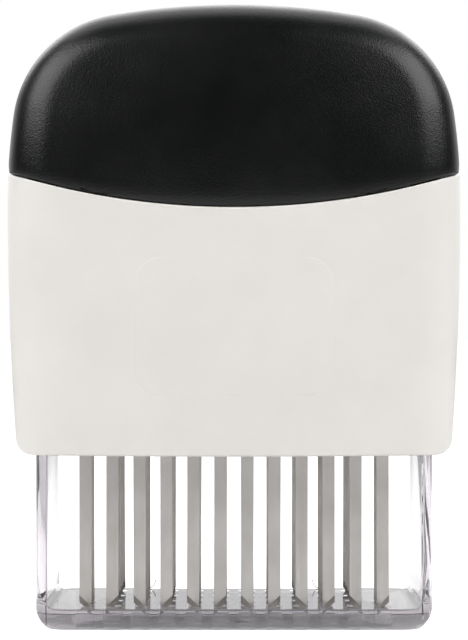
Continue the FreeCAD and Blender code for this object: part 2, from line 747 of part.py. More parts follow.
def handle_cap():
    """Black domed cap with a skirt inside the housing, screw bosses and two ribs."""
    body = outer_form("cap_form", 0, d.housing_bottom)
    seam = Drawing(body, "XZ_Plane", "cap_seam")
    seam_region(seam, False, d.seam_gap)
    pocket(body, "cap_bottom", seam, symmetric=True)
    ceiling = d.body_top - d.dome_foot_drop
    room = Drawing(body, "XY_Plane", "cap_room_plan", d.skirt_bottom)
    inner_plan(room, d.cap_wall)
    pocket(body, "cap_room", room, ceiling - d.skirt_bottom, backward=True)
    sections = [dome_section(body, step, *values) for step, values in enumerate(DOME)]
    dome = body.newObject("PartDesign::SubtractiveLoft", "cap_dome")
    dome.Profile = sections[0]
    dome.Sections = sections[1:]
    dome.Ruled = True
    inside = new_body("cap_inside")
    bosses = Drawing(inside, "XY_Plane", "boss_plan", d.skirt_bottom)
    for x, y in corners(d.cap_screw_x, cap_screw_y()):
        bosses.circle(x, y, d.cap_boss / 2)
    pad(inside, "boss_pad", bosses, d.body_top - d.boss_top - d.skirt_bottom)
    deck_top = d.deck_bottom + d.deck_thickness
    ribs = Drawing(inside, "XY_Plane", "rib_plan", deck_top)
    for side in (-1, 1):
        middle = d.rib_distance / 2 * side
        half = d.rib_thickness / 2
        ribs.rectangle(middle - half, middle + half, -d.rib_length / 2, d.rib_length / 2)
    pad(inside, "rib_pad", ribs, d.body_top - d.rib_top - deck_top)
    skirt = new_body("cap_skirt")
    ring = Drawing(skirt, "XY_Plane", "skirt_plan", d.skirt_bottom)
    inner_plan(ring, d.housing_wall + d.skirt_clearance)
    inner_plan(ring, d.housing_wall + d.skirt_clearance + d.skirt_wall)
    pad(skirt, "skirt_pad", ring, d.skirt_height)
    ends = Drawing(skirt, "XY_Plane", "skirt_ends", d.skirt_bottom)
    for side in (-1, 1):
        limits = sorted((d.skirt_half_length * side, d.body_width * side), key=lambda s: s.value)
        ends.rectangle(*limits, -d.body_depth, d.body_depth)
    pocket(skirt, "skirt_end_cut", ends, d.skirt_height, backward=True)
    whole = combine("MultiFuse", "cap_whole", [body, inside, skirt])
    holes = [
        cylinder(
            f"boss_hole_{i}",
            d.cap_screw + d.screw_clearance * 2,
            d.cap_screw_grip + 2,
            x,
            y,
            d.skirt_bottom - 1,
        )
        for i, (x, y) in enumerate(corners(d.cap_screw_x, cap_screw_y()))
    ]
    return piece(cut("cap_result", whole, combine("MultiFuse", "boss_holes", holes)), "handle_cap")


def screw(name, diameter, head, head_height, length, x, y, z):
    """A pan head screw that points up, its head's upper face at z."""
    shank = cylinder(f"{name}_shank", diameter, length, x, y, z)
    top = cylinder(f"{name}_head", head, head_height, x, y, z - head_height)
    return combine("MultiFuse", name, [shank, top])


def cap_screws():
    """Four screws up through the housing's lugs into the cap."""
    under = d.skirt_bottom - d.lug_thickness
    length = d.lug_thickness + d.cap_screw_grip
    head, height = d.cap_screw_head, d.cap_screw_head_height
    screws = [
        screw(f"cap_screw_{i}", d.cap_screw, head, height, length, x, y, under)
        for i, (x, y) in enumerate(corners(d.cap_screw_x, cap_screw_y()))
    ]
    return piece(combine("Compound", "cap_screw_set", screws), "cap_screws")


# Blade block


def row_y(row):
    """Place of a row of blades, counted from 1 at the front."""
    return d.row_pitch * (row - 2.5)


def column_x(column):
    """Place of a column of blades, counted from 1 at the left."""
    return d.blade_pitch * (column - 6.5)


# First column and number of columns of each row
ROWS = {1: (1, 12), 2: (1, 12), 3: (2, 10), 4: (2, 10)}


def joint_height():
    """The plane between the holder's two plates, where the blade rods lie."""
    return d.holder_bottom + d.holder_plate


def bevel(body, name, row, x, middle, lean):
    """Grinds one 45 degree tip from the front, down to a thin land at the back."""
    drawing = Drawing(body, "YZ_Plane", f"{name}_profile", x, (row_y(row), middle), 45 * lean)
    back = d.blade_thickness / 2 - d.blade_land
    front = -d.blade_thickness / 2
    run = back - front
    drawing.polygon(
        [
            (front - run, d.bevel_height * 2),
            (front - run, -d.bevel_height),
            (back + run, -d.bevel_height),
        ]
    )
    return pocket(body, name, drawing, d.blade_width * 1.7, symmetric=True)


def blade_row(row):
    """One row of steel strips, cut at 45 degrees in mirrored pairs and ground in front."""
    first, count = ROWS[row]
    body = new_body(f"blade_row_{row}_body")
    drawing = Drawing(body, "XZ_Plane", f"row_{row}_outline", -row_y(row))
    half = d.blade_width / 2
    top = joint_height() + d.blade_tang
    low = d.blade_tip
    high = low + d.blade_width
    leans = {}
    for column in (first, first + 1):
        x = column_x(column)
        lean = 1 if column % 2 else -1
        leans[column] = lean
        ends = (high, low) if lean > 0 else (low, high)
        drawing.polygon([(x - half, ends[0]), (x + half, ends[1]), (x + half, top), (x - half, top)])
        drawing.circle(x, joint_height(), d.blade_rod / 2 + d.rod_clearance)
    strips = pad(body, f"row_{row}_strips", drawing, d.blade_thickness, symmetric=True)
    grinds = [
        bevel(body, f"row_{row}_bevel_{column}", row, column_x(column), low + half, lean)
        for column, lean in leans.items()
    ]
    pairs = count // 2
    line_pattern(body, f"row_{row}_pattern", [strips, *grinds], "X_Axis", d.blade_pitch * 2, pairs)
    return piece(body, f"blade_row_{row}")


def slot_pattern(body, name, plane_height, half_x, half_y, length, backward):
    """Slots for all blades, one pocket and one pattern for rows of equal length."""
    for first, count in sorted(set(ROWS.values())):
        rows = [row for row, found in ROWS.items() if found == (first, count)]
        drawing = Drawing(body, "XY_Plane", f"{name}_plan_{count}", plane_height)
        for row in rows:
            x, y = column_x(first), row_y(row)
            drawing.rectangle(x - half_x, x + half_x, y - half_y, y + half_y)
        slots = pocket(body, f"{name}_{count}", drawing, length, backward=backward)
        line_pattern(body, f"{name}_pattern_{count}", [slots], "X_Axis", d.blade_pitch, count)


def holder_plan(body, name, height):
    drawing = Drawing(body, "XY_Plane", name, height)
    return drawing.rounded_rectangle(d.holder_width / 2, d.holder_depth / 2, d.holder_corner)


def blade_rod_length():
    return d.holder_depth - d.blade_rod_margin * 2


def rod_channels(body, name):
    """Half-round channels for the blade rods in the joint between the plates."""
    drawing = Drawing(body, "XZ_Plane", f"{name}_section")
    drawing.circle(column_x(1), joint_height(), d.blade_rod / 2 + d.rod_clearance)
    length = blade_rod_length() + d.rod_clearance * 4
    channel = pocket(body, name, drawing, length, symmetric=True)
    line_pattern(body, f"{name}_pattern", [channel], "X_Axis", d.blade_pitch, COLUMNS)


def screw_places():
    """The holder screws stand midway between two columns of blades."""
    return [d.blade_pitch * i for i in (-4, 0, 4)]


def blade_holder_lower():
    """Lower clamping plate, with a slot for each blade and sunk screw heads."""
    body = new_body("holder_lower_body")
    plan = holder_plan(body, "lower_plan", d.holder_bottom)
    pad(body, "lower_slab", plan, d.holder_plate)
    half_x = d.blade_width / 2 + d.blade_fit
    half_y = d.blade_thickness / 2 + d.blade_fit
    slot_pattern(body, "lower_slots", joint_height(), half_x, half_y, None, False)
    rod_channels(body, "lower_channels")
    holes = Drawing(body, "XY_Plane", "lower_hole_plan", joint_height())
    sinks = Drawing(body, "XY_Plane", "lower_sink_plan", d.holder_bottom)
    for x in screw_places():
        holes.circle(x, 0, d.holder_screw / 2 + d.screw_clearance)
        sinks.circle(x, 0, d.holder_screw_head / 2 + d.screw_clearance)
    pocket(body, "lower_holes", holes)
    pocket(body, "lower_sinks", sinks, d.holder_screw_head_height + d.screw_clearance, backward=True)
    return piece(body, "blade_holder_lower")


def blade_holder_upper():
    """Upper clamping plate over the blade tangs, with seats for the guide rods."""
    body = new_body("holder_upper_body")
    plan = holder_plan(body, "upper_plan", joint_height())
    pad(body, "upper_slab", plan, d.holder_plate)
    half_x = d.blade_width / 2 + d.blade_fit
    half_y = d.blade_thickness / 2 + d.blade_fit
    depth = d.blade_tang + d.blade_fit
    slot_pattern(body, "upper_slots", joint_height(), half_x, half_y, depth, True)
    rod_channels(body, "upper_channels")
    top = joint_height() + d.holder_plate
    holes = Drawing(body, "XY_Plane", "upper_hole_plan", top)
    for x in screw_places():
        holes.circle(x, 0, d.holder_screw / 2 + d.screw_clearance)
    pocket(body, "upper_holes", holes)
    seats = Drawing(body, "XY_Plane", "upper_seat_plan", top)
    for x, y in corners(d.guide_x, d.guide_y):
        seats.circle(x, y, d.guide_rod / 2 + d.rod_clearance)
    pocket(body, "upper_seats", seats, d.lower_seat)
    return piece(body, "blade_holder_upper")


def blade_rods():
    """Twelve rods, each through one column of blades, held between the plates."""
    turn = (FreeCAD.Vector(1, 0, 0), -90)
    start = -blade_rod_length() / 2
    for column in range(1, COLUMNS + 1):
        name = f"blade_rod_{column}"
        x = column_x(column)
        rod = cylinder(f"{name}_bar", d.blade_rod, blade_rod_length(), x, start, joint_height(), turn)
        piece(rod, name)


def holder_screws():
    """Three screws up through both plates into the frame's bosses."""
    seat = d.holder_bottom + d.holder_screw_head_height
    grip = d.holder_plate * 2 - d.holder_screw_head_height + d.holder_screw_grip
    head, height = d.holder_screw_head, d.holder_screw_head_height
    screws = [
        screw(f"holder_screw_{i}", d.holder_screw, head, height, grip, x, 0, seat)
        for i, x in enumerate(screw_places())
    ]
    return piece(combine("Compound", "holder_screw_set", screws), "holder_screws")


def inner_frame():
    """Moulded frame: deck, spine with screw bosses, and a bracket for each button."""
    body = new_body("frame_body")
    holder_top = joint_height() + d.holder_plate
    half = d.holder_width / 2
    neck = half - d.deck_end
    waist = cap_screw_y() - d.cap_boss / 2 - d.deck_clearance
    full = d.holder_depth / 2
    deck = Drawing(body, "XY_Plane", "deck_plan", d.deck_bottom)
    right = [(half, -full), (half, full), (neck, full), (neck, waist)]
    left = [(-neck, waist), (-neck, full), (-half, full), (-half, -full)]
    deck.polygon([*right, *left, (-neck, -full), (-neck, -waist), (neck, -waist), (neck, -full)])
    pad(body, "deck", deck, d.deck_thickness)
    spine = Drawing(body, "XZ_Plane", "spine_outline")
    edge = d.spine_width / 2
    bracket = d.bracket_outside - d.bracket_thickness
    into = bracket + d.bracket_thickness / 2
    rib = d.bracket_rib_bottom
    top = d.deck_bottom + d.deck_thickness / 2
    right = [(edge, holder_top), (edge, rib), (into, rib), (into, top)]
    left = [(-into, top), (-into, rib), (-edge, rib), (-edge, holder_top)]
    spine.polygon([*right, *left])
    pad(body, "spine", spine, d.spine_thickness, symmetric=True)
    bosses = Drawing(body, "XY_Plane", "boss_plan_frame", holder_top)
    for x in screw_places():
        bosses.circle(x, 0, d.boss_diameter / 2)
    pad(body, "bosses", bosses, d.deck_bottom - holder_top + d.deck_thickness / 2)
    wall = Drawing(body, "YZ_Plane", "bracket_outline", bracket)
    low = d.window_centre - d.bracket_drop
    wall.rectangle(-d.bracket_width / 2, d.bracket_width / 2, low, top)
    bracket_pad = pad(body, "bracket", wall, d.bracket_thickness)
    mirror(body, "brackets", [bracket_pad], "YZ_Plane")
    bore = Drawing(body, "YZ_Plane", "bore_outline")
    bore.circle(0, d.window_centre, d.stem_diameter / 2 + d.stem_clearance)
    pocket(body, "bores", bore, (d.bracket_outside + 1) * 2, symmetric=True)
    pilots = Drawing(body, "XY_Plane", "pilot_plan", holder_top)
    for x in screw_places():
        pilots.circle(x, 0, d.holder_screw / 2 + d.screw_clearance)
    pocket(body, "pilots", pilots, d.holder_screw_grip + 1, backward=True)
    seats = Drawing(body, "XY_Plane", "seat_plan", d.deck_bottom)
    for x, y in corners(d.guide_x, d.guide_y):
        seats.circle(x, y, d.guide_rod / 2 + d.rod_clearance)
    pocket(body, "seats", seats, d.upper_seat, backward=True)
    return piece(body, "inner_frame")


# Guard and what it slides on

CORNER_NAMES = ["front_left", "front_right", "back_left", "back_right"]


def clear_guard():
    """Clear guard: slotted plate, end walls with arms and lugs, and a rear tongue."""
    body = new_body("guard_body")
    half_x, half_y = d.guard_width / 2, d.guard_depth / 2
    plan = Drawing(body, "XY_Plane", "guard_plan")
    plan.rounded_rectangle(half_x, half_y, d.guard_corner)
    pad(body, "guard_block", plan, d.guard_height)
    inside = half_x - d.guard_wall
    tongue_front = half_y - d.tongue_wall
    room = Drawing(body, "XZ_Plane", "room_outline", -tongue_front)
    above = d.guard_height + 2
    room.rectangle(-inside, inside, d.guard_plate, above)
    pocket(body, "room", room, d.guard_depth, backward=True)
    for side in (-1, 1):
        edge = d.tongue_width / 2 * side
        gap = Drawing(body, "XZ_Plane", f"rear_gap_{side + 1}", -half_y - 1)
        gap.rectangle(*sorted((edge, inside * side), key=lambda s: s.value), d.guard_plate, above)
        pocket(body, f"rear_opening_{side + 1}", gap, d.tongue_wall + 2, backward=True)
    top = Drawing(body, "XZ_Plane", "tongue_top", -half_y - 1)
    top.rectangle(-d.tongue_width / 2 - 1, d.tongue_width / 2 + 1, d.tongue_height, above)
    pocket(body, "tongue_end", top, d.tongue_wall + 2, backward=True)
    button_gap = Drawing(body, "YZ_Plane", "arm_gap_outline")
    button_gap.rectangle(-d.arm_gap / 2, d.arm_gap / 2, d.arm_gap_bottom, above)
    pocket(body, "arm_gaps", button_gap, d.guard_width + 4, symmetric=True)

    def inner_corner(edge):
        """The concave edges along the foot of the end walls."""
        box = edge.BoundBox
        at_plate = box.ZLength < 1e-3 and abs(box.ZMin - d.guard_plate.value) < 1e-3
        along = box.XLength < 1e-3 and abs(abs(box.XMin) - inside.value) < 1e-3
        return at_plate and along

    fillet(body, "wall_feet", d.guard_fillet, inner_corner)

    def tongue_foot(edge):
        box = edge.BoundBox
        at_plate = box.ZLength < 1e-3 and abs(box.ZMin - d.guard_plate.value) < 1e-3
        along = box.XLength < 1e-3 and abs(abs(box.XMin) - d.tongue_width.value / 2) < 1e-3
        return at_plate and along

    fillet(body, "tongue_feet", d.tongue_fillet, tongue_foot)
    toes = Drawing(body, "XZ_Plane", "toe_outline")
    for side in (1, -1):
        corner_cutter(toes, side, half_x, as_size(0), d.guard_toe, half_x)
    pocket(body, "toes", toes, symmetric=True)
    lugs = Drawing(body, "XY_Plane", "lug_outline", d.guard_height)
    for x, y in corners(d.guide_x, d.guide_y):
        side = 1 if x.value > 0 else -1
        ends = sorted((x, (inside + 0.2) * side), key=lambda s: s.value)
        guard_lug(lugs, x, y, side, ends)
    pad(body, "lugs", lugs, d.lug_height, backward=True)
    bores = Drawing(body, "XY_Plane", "lug_bores", d.guard_height)
    for x, y in corners(d.guide_x, d.guide_y):
        bores.circle(x, y, d.guide_rod / 2 + d.guide_clearance)
    pocket(body, "bores_guard", bores, d.lug_height + 1)
    half = (d.slot_width / 2, d.slot_depth / 2)
    slot_pattern(body, "guard_slots", d.guard_plate, *half, d.guard_plate + 1, False)
    return piece(body, "clear_guard")


def guard_lug(drawing, x, y, side, ends):
    """A lug from the end wall, round at its inner end about the guide rod."""
    radius = d.lug_radius
    start = math.pi / 2 if side > 0 else -math.pi / 2
    arc = drawing.arc((x.value, y.value), radius.value, start, start + math.pi)
    wall = ends[1] if side > 0 else ends[0]
    above, below = y + radius, y - radius
    first, last = (above, below) if side > 0 else (below, above)
    lines = [
        drawing.line((x, last), (wall, last)),
        drawing.line((wall, last), (wall, first)),
        drawing.line((wall, first), (x, first)),
    ]
    drawing.relate("Tangent", arc, 2, lines[0], 1)
    drawing.relate("Coincident", lines[0], 2, lines[1], 1)
    drawing.relate("Coincident", lines[1], 2, lines[2], 1)
    drawing.relate("Tangent", lines[2], 2, arc, 1)
    drawing.fix("DistanceX", (arc, 3), x)
    drawing.fix("DistanceY", (arc, 3), y)
    drawing.fix("Radius", (arc,), radius)
    drawing.relate("Horizontal", lines[0])
    drawing.relate("Horizontal", lines[2])
    drawing.relate("Vertical", lines[1])
    drawing.fix("DistanceX", (lines[1], 1), wall)


def guide_rods():
    """Four steel rods between the holder and the deck."""
    start = joint_height() + d.holder_plate - d.lower_seat
    length = d.deck_bottom + d.upper_seat - start
    for name, (x, y) in zip(CORNER_NAMES, corners(d.guide_x, d.guide_y)):
        rod = cylinder(f"guide_bar_{name}", d.guide_rod, length, x, y, start)
        piece(rod, f"guide_rod_{name}")


def stop_sleeves():
    """Four sleeves that hold the guard's lugs up at rest."""
    start = joint_height() + d.holder_plate
    height = d.guard_height - d.lug_height - start
    for name, (x, y) in zip(CORNER_NAMES, corners(d.guide_x, d.guide_y)):
        outside = cylinder(f"sleeve_outside_{name}", d.sleeve_diameter, height, x, y, start)
        bore_width = d.guide_rod + d.rod_clearance * 2
        bore = cylinder(f"sleeve_bore_{name}", bore_width, height + 2, x, y, start - 1)
        piece(cut(f"sleeve_{name}", outside, bore), f"stop_sleeve_{name}")


# Springs


def helix_point(radius, rise, angle, start):
    """A point of a helix about +Z that begins at a height, and its direction there."""
    height = start + rise * angle
    spot = FreeCAD.Vector(radius * math.cos(angle), radius * math.sin(angle), height)
    way = FreeCAD.Vector(-radius * math.sin(angle), radius * math.cos(angle), rise)
    return spot, way.normalize()


def biarc(start, start_way, end, end_way):
    """Two tangent arcs between two points of a helix."""
    span = end - start
    ways = start_way + end_way
    spread = 2 * (1 - start_way.dot(end_way))
    along = span.dot(ways)
    reach = (-along + math.sqrt(along**2 + spread * span.dot(span))) / spread
    joint = (start + end + (start_way - end_way) * reach) * 0.5
    arcs = []
    for a, corner, b in (
        (start, start + start_way * reach, joint),
        (joint, end - end_way * reach, end),
    ):
        middle = (a + b) * 0.5
        half_chord = (middle - a).Length
        slope = math.acos(half_chord / (corner - a).Length)
        bulge = (corner - middle).normalize() * (half_chord * math.tan(slope / 2))
        arcs.append(Part.Arc(a, middle + bulge, b).toShape())
    return arcs


def coil(name, wire, mean_diameter, length, turns):
    """One unbroken round wire wound about +Z from the origin, with open ends."""
    radius = mean_diameter / 2
    rise = (length - wire) / (2 * math.pi * turns)
    steps = 2 * turns
    knots = [helix_point(radius, rise, math.pi * i, wire / 2) for i in range(steps + 1)]
    edges = []
    for (a, a_way), (b, b_way) in zip(knots, knots[1:]):
        edges += biarc(a, a_way, b, b_way)
    start, way = knots[0]
    ring = Part.Wire([Part.Circle(start, way, wire / 2).toShape()])
    shape = Part.Wire(edges).makePipeShell([ring], True, False)
    least = (length - wire) / turns - wire
    print(f"{name}: {turns} turns, least gap {least:.2f} mm, volume {shape.Volume:.1f} mm3")
    return shape


def guard_springs():
    """Four compression springs on the guide rods, between the lugs and the deck."""
    length = (d.deck_bottom - d.guard_height - d.spring_gap * 2).value
    shape = coil("guard_spring", d.guard_wire.value, d.guard_coil.value, length, int(d.guard_turns.value))
    start = d.guard_height + d.spring_gap
    for name, (x, y) in zip(CORNER_NAMES, corners(d.guide_x, d.guide_y)):
        spring = document.addObject("Part::Feature", f"guard_coil_{name}")
        spring.Shape = shape
        piece(place(spring, x, y, start), f"guard_spring_{name}")


# Release buttons

SIDES = {"left": -1, "right": 1}


def flange_outside():
    """Outer face of a button's flange, behind the housing's end wall."""
    return foot_half_width() - d.housing_wall - d.flange_gap


def clip_outside():
    """Outer face of the clip on the stem, seen from the middle."""
    return d.bracket_outside - d.bracket_thickness - d.clip_gap


def release_button(name, side):
    """Button pad in the window, flange behind it, and a stem with a clip groove."""
    body = new_body(f"button_{name}_body")
    backward = side < 0
    face = d.body_width / 2 - d.button_recess
    flange = flange_outside()
    inner = flange - d.flange_thickness
    end = clip_outside() - d.clip_thickness - d.stem_end
    top = Drawing(body, "YZ_Plane", f"button_{name}_face", inner * side)
    half_y = d.window_width / 2 - d.button_clearance
    half_z = d.window_height / 2 - d.button_clearance
    corner = d.window_corner - d.button_clearance
    top.rounded_rectangle(half_y, half_z, corner, 0, d.window_centre)
    pad(body, f"button_{name}_pad", top, face - inner, backward=backward)
    rim = Drawing(body, "YZ_Plane", f"button_{name}_rim", inner * side)
    half_y = d.window_width / 2 + d.flange_overlap
    half_z = d.window_height / 2 + d.flange_overlap
    rim.rounded_rectangle(half_y, half_z, d.window_corner, 0, d.window_centre)
    pad(body, f"button_{name}_flange", rim, d.flange_thickness, backward=backward)
    stem = Drawing(body, "YZ_Plane", f"button_{name}_stem", end * side)
    stem.circle(0, d.window_centre, d.stem_diameter / 2)
    pad(body, f"button_{name}_bar", stem, inner - end, backward=backward)
    groove = Drawing(body, "YZ_Plane", f"button_{name}_groove", clip_outside() * side)
    groove.circle(0, d.window_centre, d.stem_diameter / 2 + 1)
    groove.circle(0, d.window_centre, d.stem_diameter / 2 - d.clip_groove)
    pocket(body, f"button_{name}_cut", groove, d.clip_thickness, backward=backward)
    return piece(body, f"release_button_{name}")


def button_clip(name, side):
    """A spring steel clip in the stem's groove."""
    body = new_body(f"clip_{name}_body")
    inner_face = clip_outside() - d.clip_thickness + d.clip_groove / 8
    ring = Drawing(body, "YZ_Plane", f"clip_{name}_ring", inner_face * side)
    bore = d.stem_diameter / 2 - d.clip_groove + d.rod_clearance
    ring.circle(0, d.window_centre, d.clip_diameter / 2)
    ring.circle(0, d.window_centre, bore)
    thickness = d.clip_thickness - d.clip_groove / 4
    pad(body, f"clip_{name}_pad", ring, thickness, backward=side < 0)
    gap = Drawing(body, "YZ_Plane", f"clip_{name}_gap")
    mouth = bore * 0.8
    gap.rectangle(-mouth, mouth, d.window_centre - d.clip_diameter, d.window_centre)
    pocket(body, f"clip_{name}_mouth", gap, d.body_width, symmetric=True)
    return piece(body, f"button_clip_{name}")


def button_spring(name, side):
    """A short compression spring round the stem, from the bracket to the flange."""
    start = d.bracket_outside + d.spring_gap
    length = (flange_outside() - d.flange_thickness - d.spring_gap).value - start.value
    turns = int(d.button_turns.value)
    shape = coil("button_spring", d.button_wire.value, d.button_coil.value, length, turns)
    spring = document.addObject("Part::Feature", f"button_coil_{name}")
    spring.Shape = shape
    turn = (FreeCAD.Vector(0, 1, 0), 90 * side)
    place(spring, start * side, 0, d.window_centre, turn)
    return piece(spring, f"button_spring_{name}")


def build():
    housing_shell()
    handle_cap()
    cap_screws()
    inner_frame()
    blade_holder_lower()
    blade_holder_upper()
    for row in ROWS:
        blade_row(row)
    blade_rods()
    holder_screws()
    clear_guard()
    guide_rods()
    stop_sleeves()
    guard_springs()
    for name, side in SIDES.items():
        release_button(name, side)
        button_clip(name, side)
        button_spring(name, side)
    document.recompute()


def check():
    """Stops if any object failed or any piece is empty or broken."""
    for thing in document.Objects:
        if "Invalid" in thing.State or "Error" in thing.State:
            raise RuntimeError(f"{thing.Label} failed: {thing.State}")
    for thing in PIECES:
        if thing.Shape.isNull() or not thing.Shape.isValid() or not thing.Shape.Solids:
            raise RuntimeError(f"{thing.Label} is not a valid solid")


def write():
    os.makedirs("parts", exist_ok=True)
    for thing in PIECES:
        thing.Shape.exportStep(f"parts/{thing.Label}.step")
        box = thing.Shape.BoundBox
        spans = " ".join(
            f"{low:.2f}..{high:.2f}"
            for low, high in ((box.XMin, box.XMax), (box.YMin, box.YMax), (box.ZMin, box.ZMax))
        )
        print(f"{thing.Label}: {len(thing.Shape.Solids)} solids, {spans}")


build()
check()
write()
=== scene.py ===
"""Blade meat tenderizer in metres: +Z up, +X to the right, the front faces -Y."""

import math

import bmesh
import bpy
import numpy as np
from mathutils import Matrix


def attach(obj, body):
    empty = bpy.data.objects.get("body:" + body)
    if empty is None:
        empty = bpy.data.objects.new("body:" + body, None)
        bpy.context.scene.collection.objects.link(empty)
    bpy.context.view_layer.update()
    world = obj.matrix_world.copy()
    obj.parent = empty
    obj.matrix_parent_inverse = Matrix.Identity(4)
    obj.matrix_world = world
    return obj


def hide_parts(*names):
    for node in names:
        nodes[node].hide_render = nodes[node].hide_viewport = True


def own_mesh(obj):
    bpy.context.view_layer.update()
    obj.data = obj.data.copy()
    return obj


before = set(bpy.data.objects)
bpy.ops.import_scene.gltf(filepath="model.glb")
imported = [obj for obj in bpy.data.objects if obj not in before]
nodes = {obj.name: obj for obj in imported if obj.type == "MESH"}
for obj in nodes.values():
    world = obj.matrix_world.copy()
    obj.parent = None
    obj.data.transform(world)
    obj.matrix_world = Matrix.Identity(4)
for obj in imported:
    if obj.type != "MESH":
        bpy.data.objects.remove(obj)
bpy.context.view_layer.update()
scene = bpy.context.scene
mm = 0.001

# Camera
# It stands level and straight in front of the tool, a little under half a metre away, and its
# long lens shows the tool's sides almost parallel.

camera_data = bpy.data.cameras.new("camera")
camera_data.lens = 110.4
camera_data.sensor_width = 36.0
camera_data.clip_start = 0.01
camera = bpy.data.objects.new("camera", camera_data)
camera.location = (0.0, -461 * mm, 70 * mm)
camera.rotation_euler = (math.pi / 2, 0.0, 0.0)
scene.collection.objects.link(camera)
scene.camera = camera

# Inner frame
# The skeleton inside the housing: a deck, a thin spine and two button brackets, injection moulded
# in one piece of grey-white plastic. It hangs under the cap's ribs.


def paint(red, green, blue):
    """Scene colour of an 8-bit screen colour: each channel divided by 255, then linearised."""
    share = np.array([red, green, blue]) / 255.0
    linear = np.where(share > 0.04045, ((share + 0.055) / 1.055) ** 2.4, share / 12.92)
    return (*linear.tolist(), 1.0)


def effect_group(name, inputs, outputs):
    """An empty shader node group with number inputs and number outputs."""
    tree = bpy.data.node_groups.new(name, "ShaderNodeTree")
    for label, value in inputs.items():
        socket = tree.interface.new_socket(label, in_out="INPUT", socket_type="NodeSocketFloat")
        socket.default_value = value
    for label in outputs:
        tree.interface.new_socket(label, in_out="OUTPUT", socket_type="NodeSocketFloat")
    return tree, tree.nodes.new("NodeGroupInput"), tree.nodes.new("NodeGroupOutput")


def noise(tree, vector, scale, detail=2.0, roughness=0.5):
    """A noise texture; its scale is a number or another node's output."""
    node = tree.nodes.new("ShaderNodeTexNoise")
    node.inputs["Detail"].default_value = detail
    node.inputs["Roughness"].default_value = roughness
    tree.links.new(vector, node.inputs["Vector"])
    if isinstance(scale, (int, float)):
        node.inputs["Scale"].default_value = scale
    else:
        tree.links.new(scale, node.inputs["Scale"])
    return node.outputs[0]


# Moulded plastic skin: slow mottling of the colour and a fine spark-eroded grain
moulded_skin, skin_in, skin_out = effect_group(
    "moulded_skin", {"Mottle Scale": 60.0, "Grain Scale": 2500.0}, ["Mottle", "Grain"]
)
place = moulded_skin.nodes.new("ShaderNodeTexCoord").outputs["Object"]
mottle = noise(moulded_skin, place, skin_in.outputs["Mottle Scale"], 3.0)
grain = noise(moulded_skin, place, skin_in.outputs["Grain Scale"], 1.0)
moulded_skin.links.new(mottle, skin_out.inputs["Mottle"])
moulded_skin.links.new(grain, skin_out.inputs["Grain"])


def new_material(name):
    """A node material, its tree and its surface shader."""
    material = bpy.data.materials.new(name)
    material.use_nodes = True
    return material, material.node_tree, material.node_tree.nodes["Principled BSDF"]


def use_group(tree, group, **values):
    """Places an effect group in a material with its own input values."""
    node = tree.nodes.new("ShaderNodeGroup")
    node.node_tree = group
    for label, value in values.items():
        node.inputs[label.replace("_", " ")].default_value = value
    return node


def between(tree, factor, dark, light):
    """A colour that runs from dark to light as a factor runs from 0 to 1."""
    mix = tree.nodes.new("ShaderNodeMix")
    mix.data_type = "RGBA"
    mix.inputs[6].default_value = dark
    mix.inputs[7].default_value = light
    tree.links.new(factor, mix.inputs[0])
    return mix.outputs[2]


def spread(tree, factor, low, high):
    """Maps the middle of a noise, about 0.3 to 0.7, onto a range of values."""
    node = tree.nodes.new("ShaderNodeMapRange")
    for label, value in (("From Min", 0.3), ("From Max", 0.7), ("To Min", low), ("To Max", high)):
        node.inputs[label].default_value = value
    tree.links.new(factor, node.inputs["Value"])
    return node.outputs[0]


def relief(tree, shader, height, distance, strength=1.0):
    """A bump from a height that runs from 0 to 1 over a real depth in metres."""
    bump = tree.nodes.new("ShaderNodeBump")
    bump.inputs["Strength"].default_value = strength
    bump.inputs["Distance"].default_value = distance
    tree.links.new(height, bump.inputs["Height"])
    tree.links.new(bump.outputs["Normal"], shader.inputs["Normal"])


def moulded_plastic(name, dark, light, roughness, grain_scale, depth, specular=0.5):
    """Moulded plastic: mottled colour, uneven gloss and a fine raised grain."""
    material, tree, shader = new_material(name)
    skin = use_group(tree, moulded_skin, Mottle_Scale=70.0, Grain_Scale=grain_scale)
    shade = spread(tree, skin.outputs["Mottle"], 0.0, 1.0)
    tree.links.new(between(tree, shade, dark, light), shader.inputs["Base Color"])
    gloss = spread(tree, skin.outputs["Mottle"], roughness[0], roughness[1])
    tree.links.new(gloss, shader.inputs["Roughness"])
    shader.inputs["Specular IOR Level"].default_value = specular
    relief(tree, shader, skin.outputs["Grain"], depth)
    return material


def dress(names, material):
    """Gives the material to every slot of some of the CAD's nodes."""
    for name in names:
        for slot in nodes[name].material_slots:
            slot.material = material


def ease_edges(names, width, segments=2):
    """Joins a CAD node's loose triangles and rounds its sharp edges by a small radius."""
    for name in names:
        node = nodes[name]
        weld = node.modifiers.new("weld", "WELD")
        weld.merge_threshold = 0.001 * mm
        flat = node.modifiers.new("flat", "DECIMATE")
        flat.decimate_type = "DISSOLVE"
        flat.angle_limit = math.radians(0.5)
        bevel = node.modifiers.new("bevel", "BEVEL")
        bevel.width = width
        bevel.segments = segments
        bevel.limit_method = "ANGLE"
        bevel.angle_limit = math.radians(35)


frame_plastic = moulded_plastic(
    "frame_plastic", paint(186, 187, 186), paint(204, 205, 203), (0.45, 0.6), 1800.0, 0.01 * mm
)
dress(["inner_frame"], frame_plastic)

# Blade holder
# Two flat plates, moulded in white plastic and screwed together over the blades' upper ends.

holder_plastic = moulded_plastic(
    "holder_plastic", paint(214, 213, 209), paint(228, 227, 223), (0.4, 0.55), 1800.0, 0.008 * mm
)
dress(["blade_holder_lower", "blade_holder_upper"], holder_plastic)

# Blades
# Strips of stainless steel, cut off at 45 degrees in mirrored pairs and ground to an edge from
# the front. Each column hangs on a rod between the holder's plates, and each blade is a little
# bent and turned by its punching.

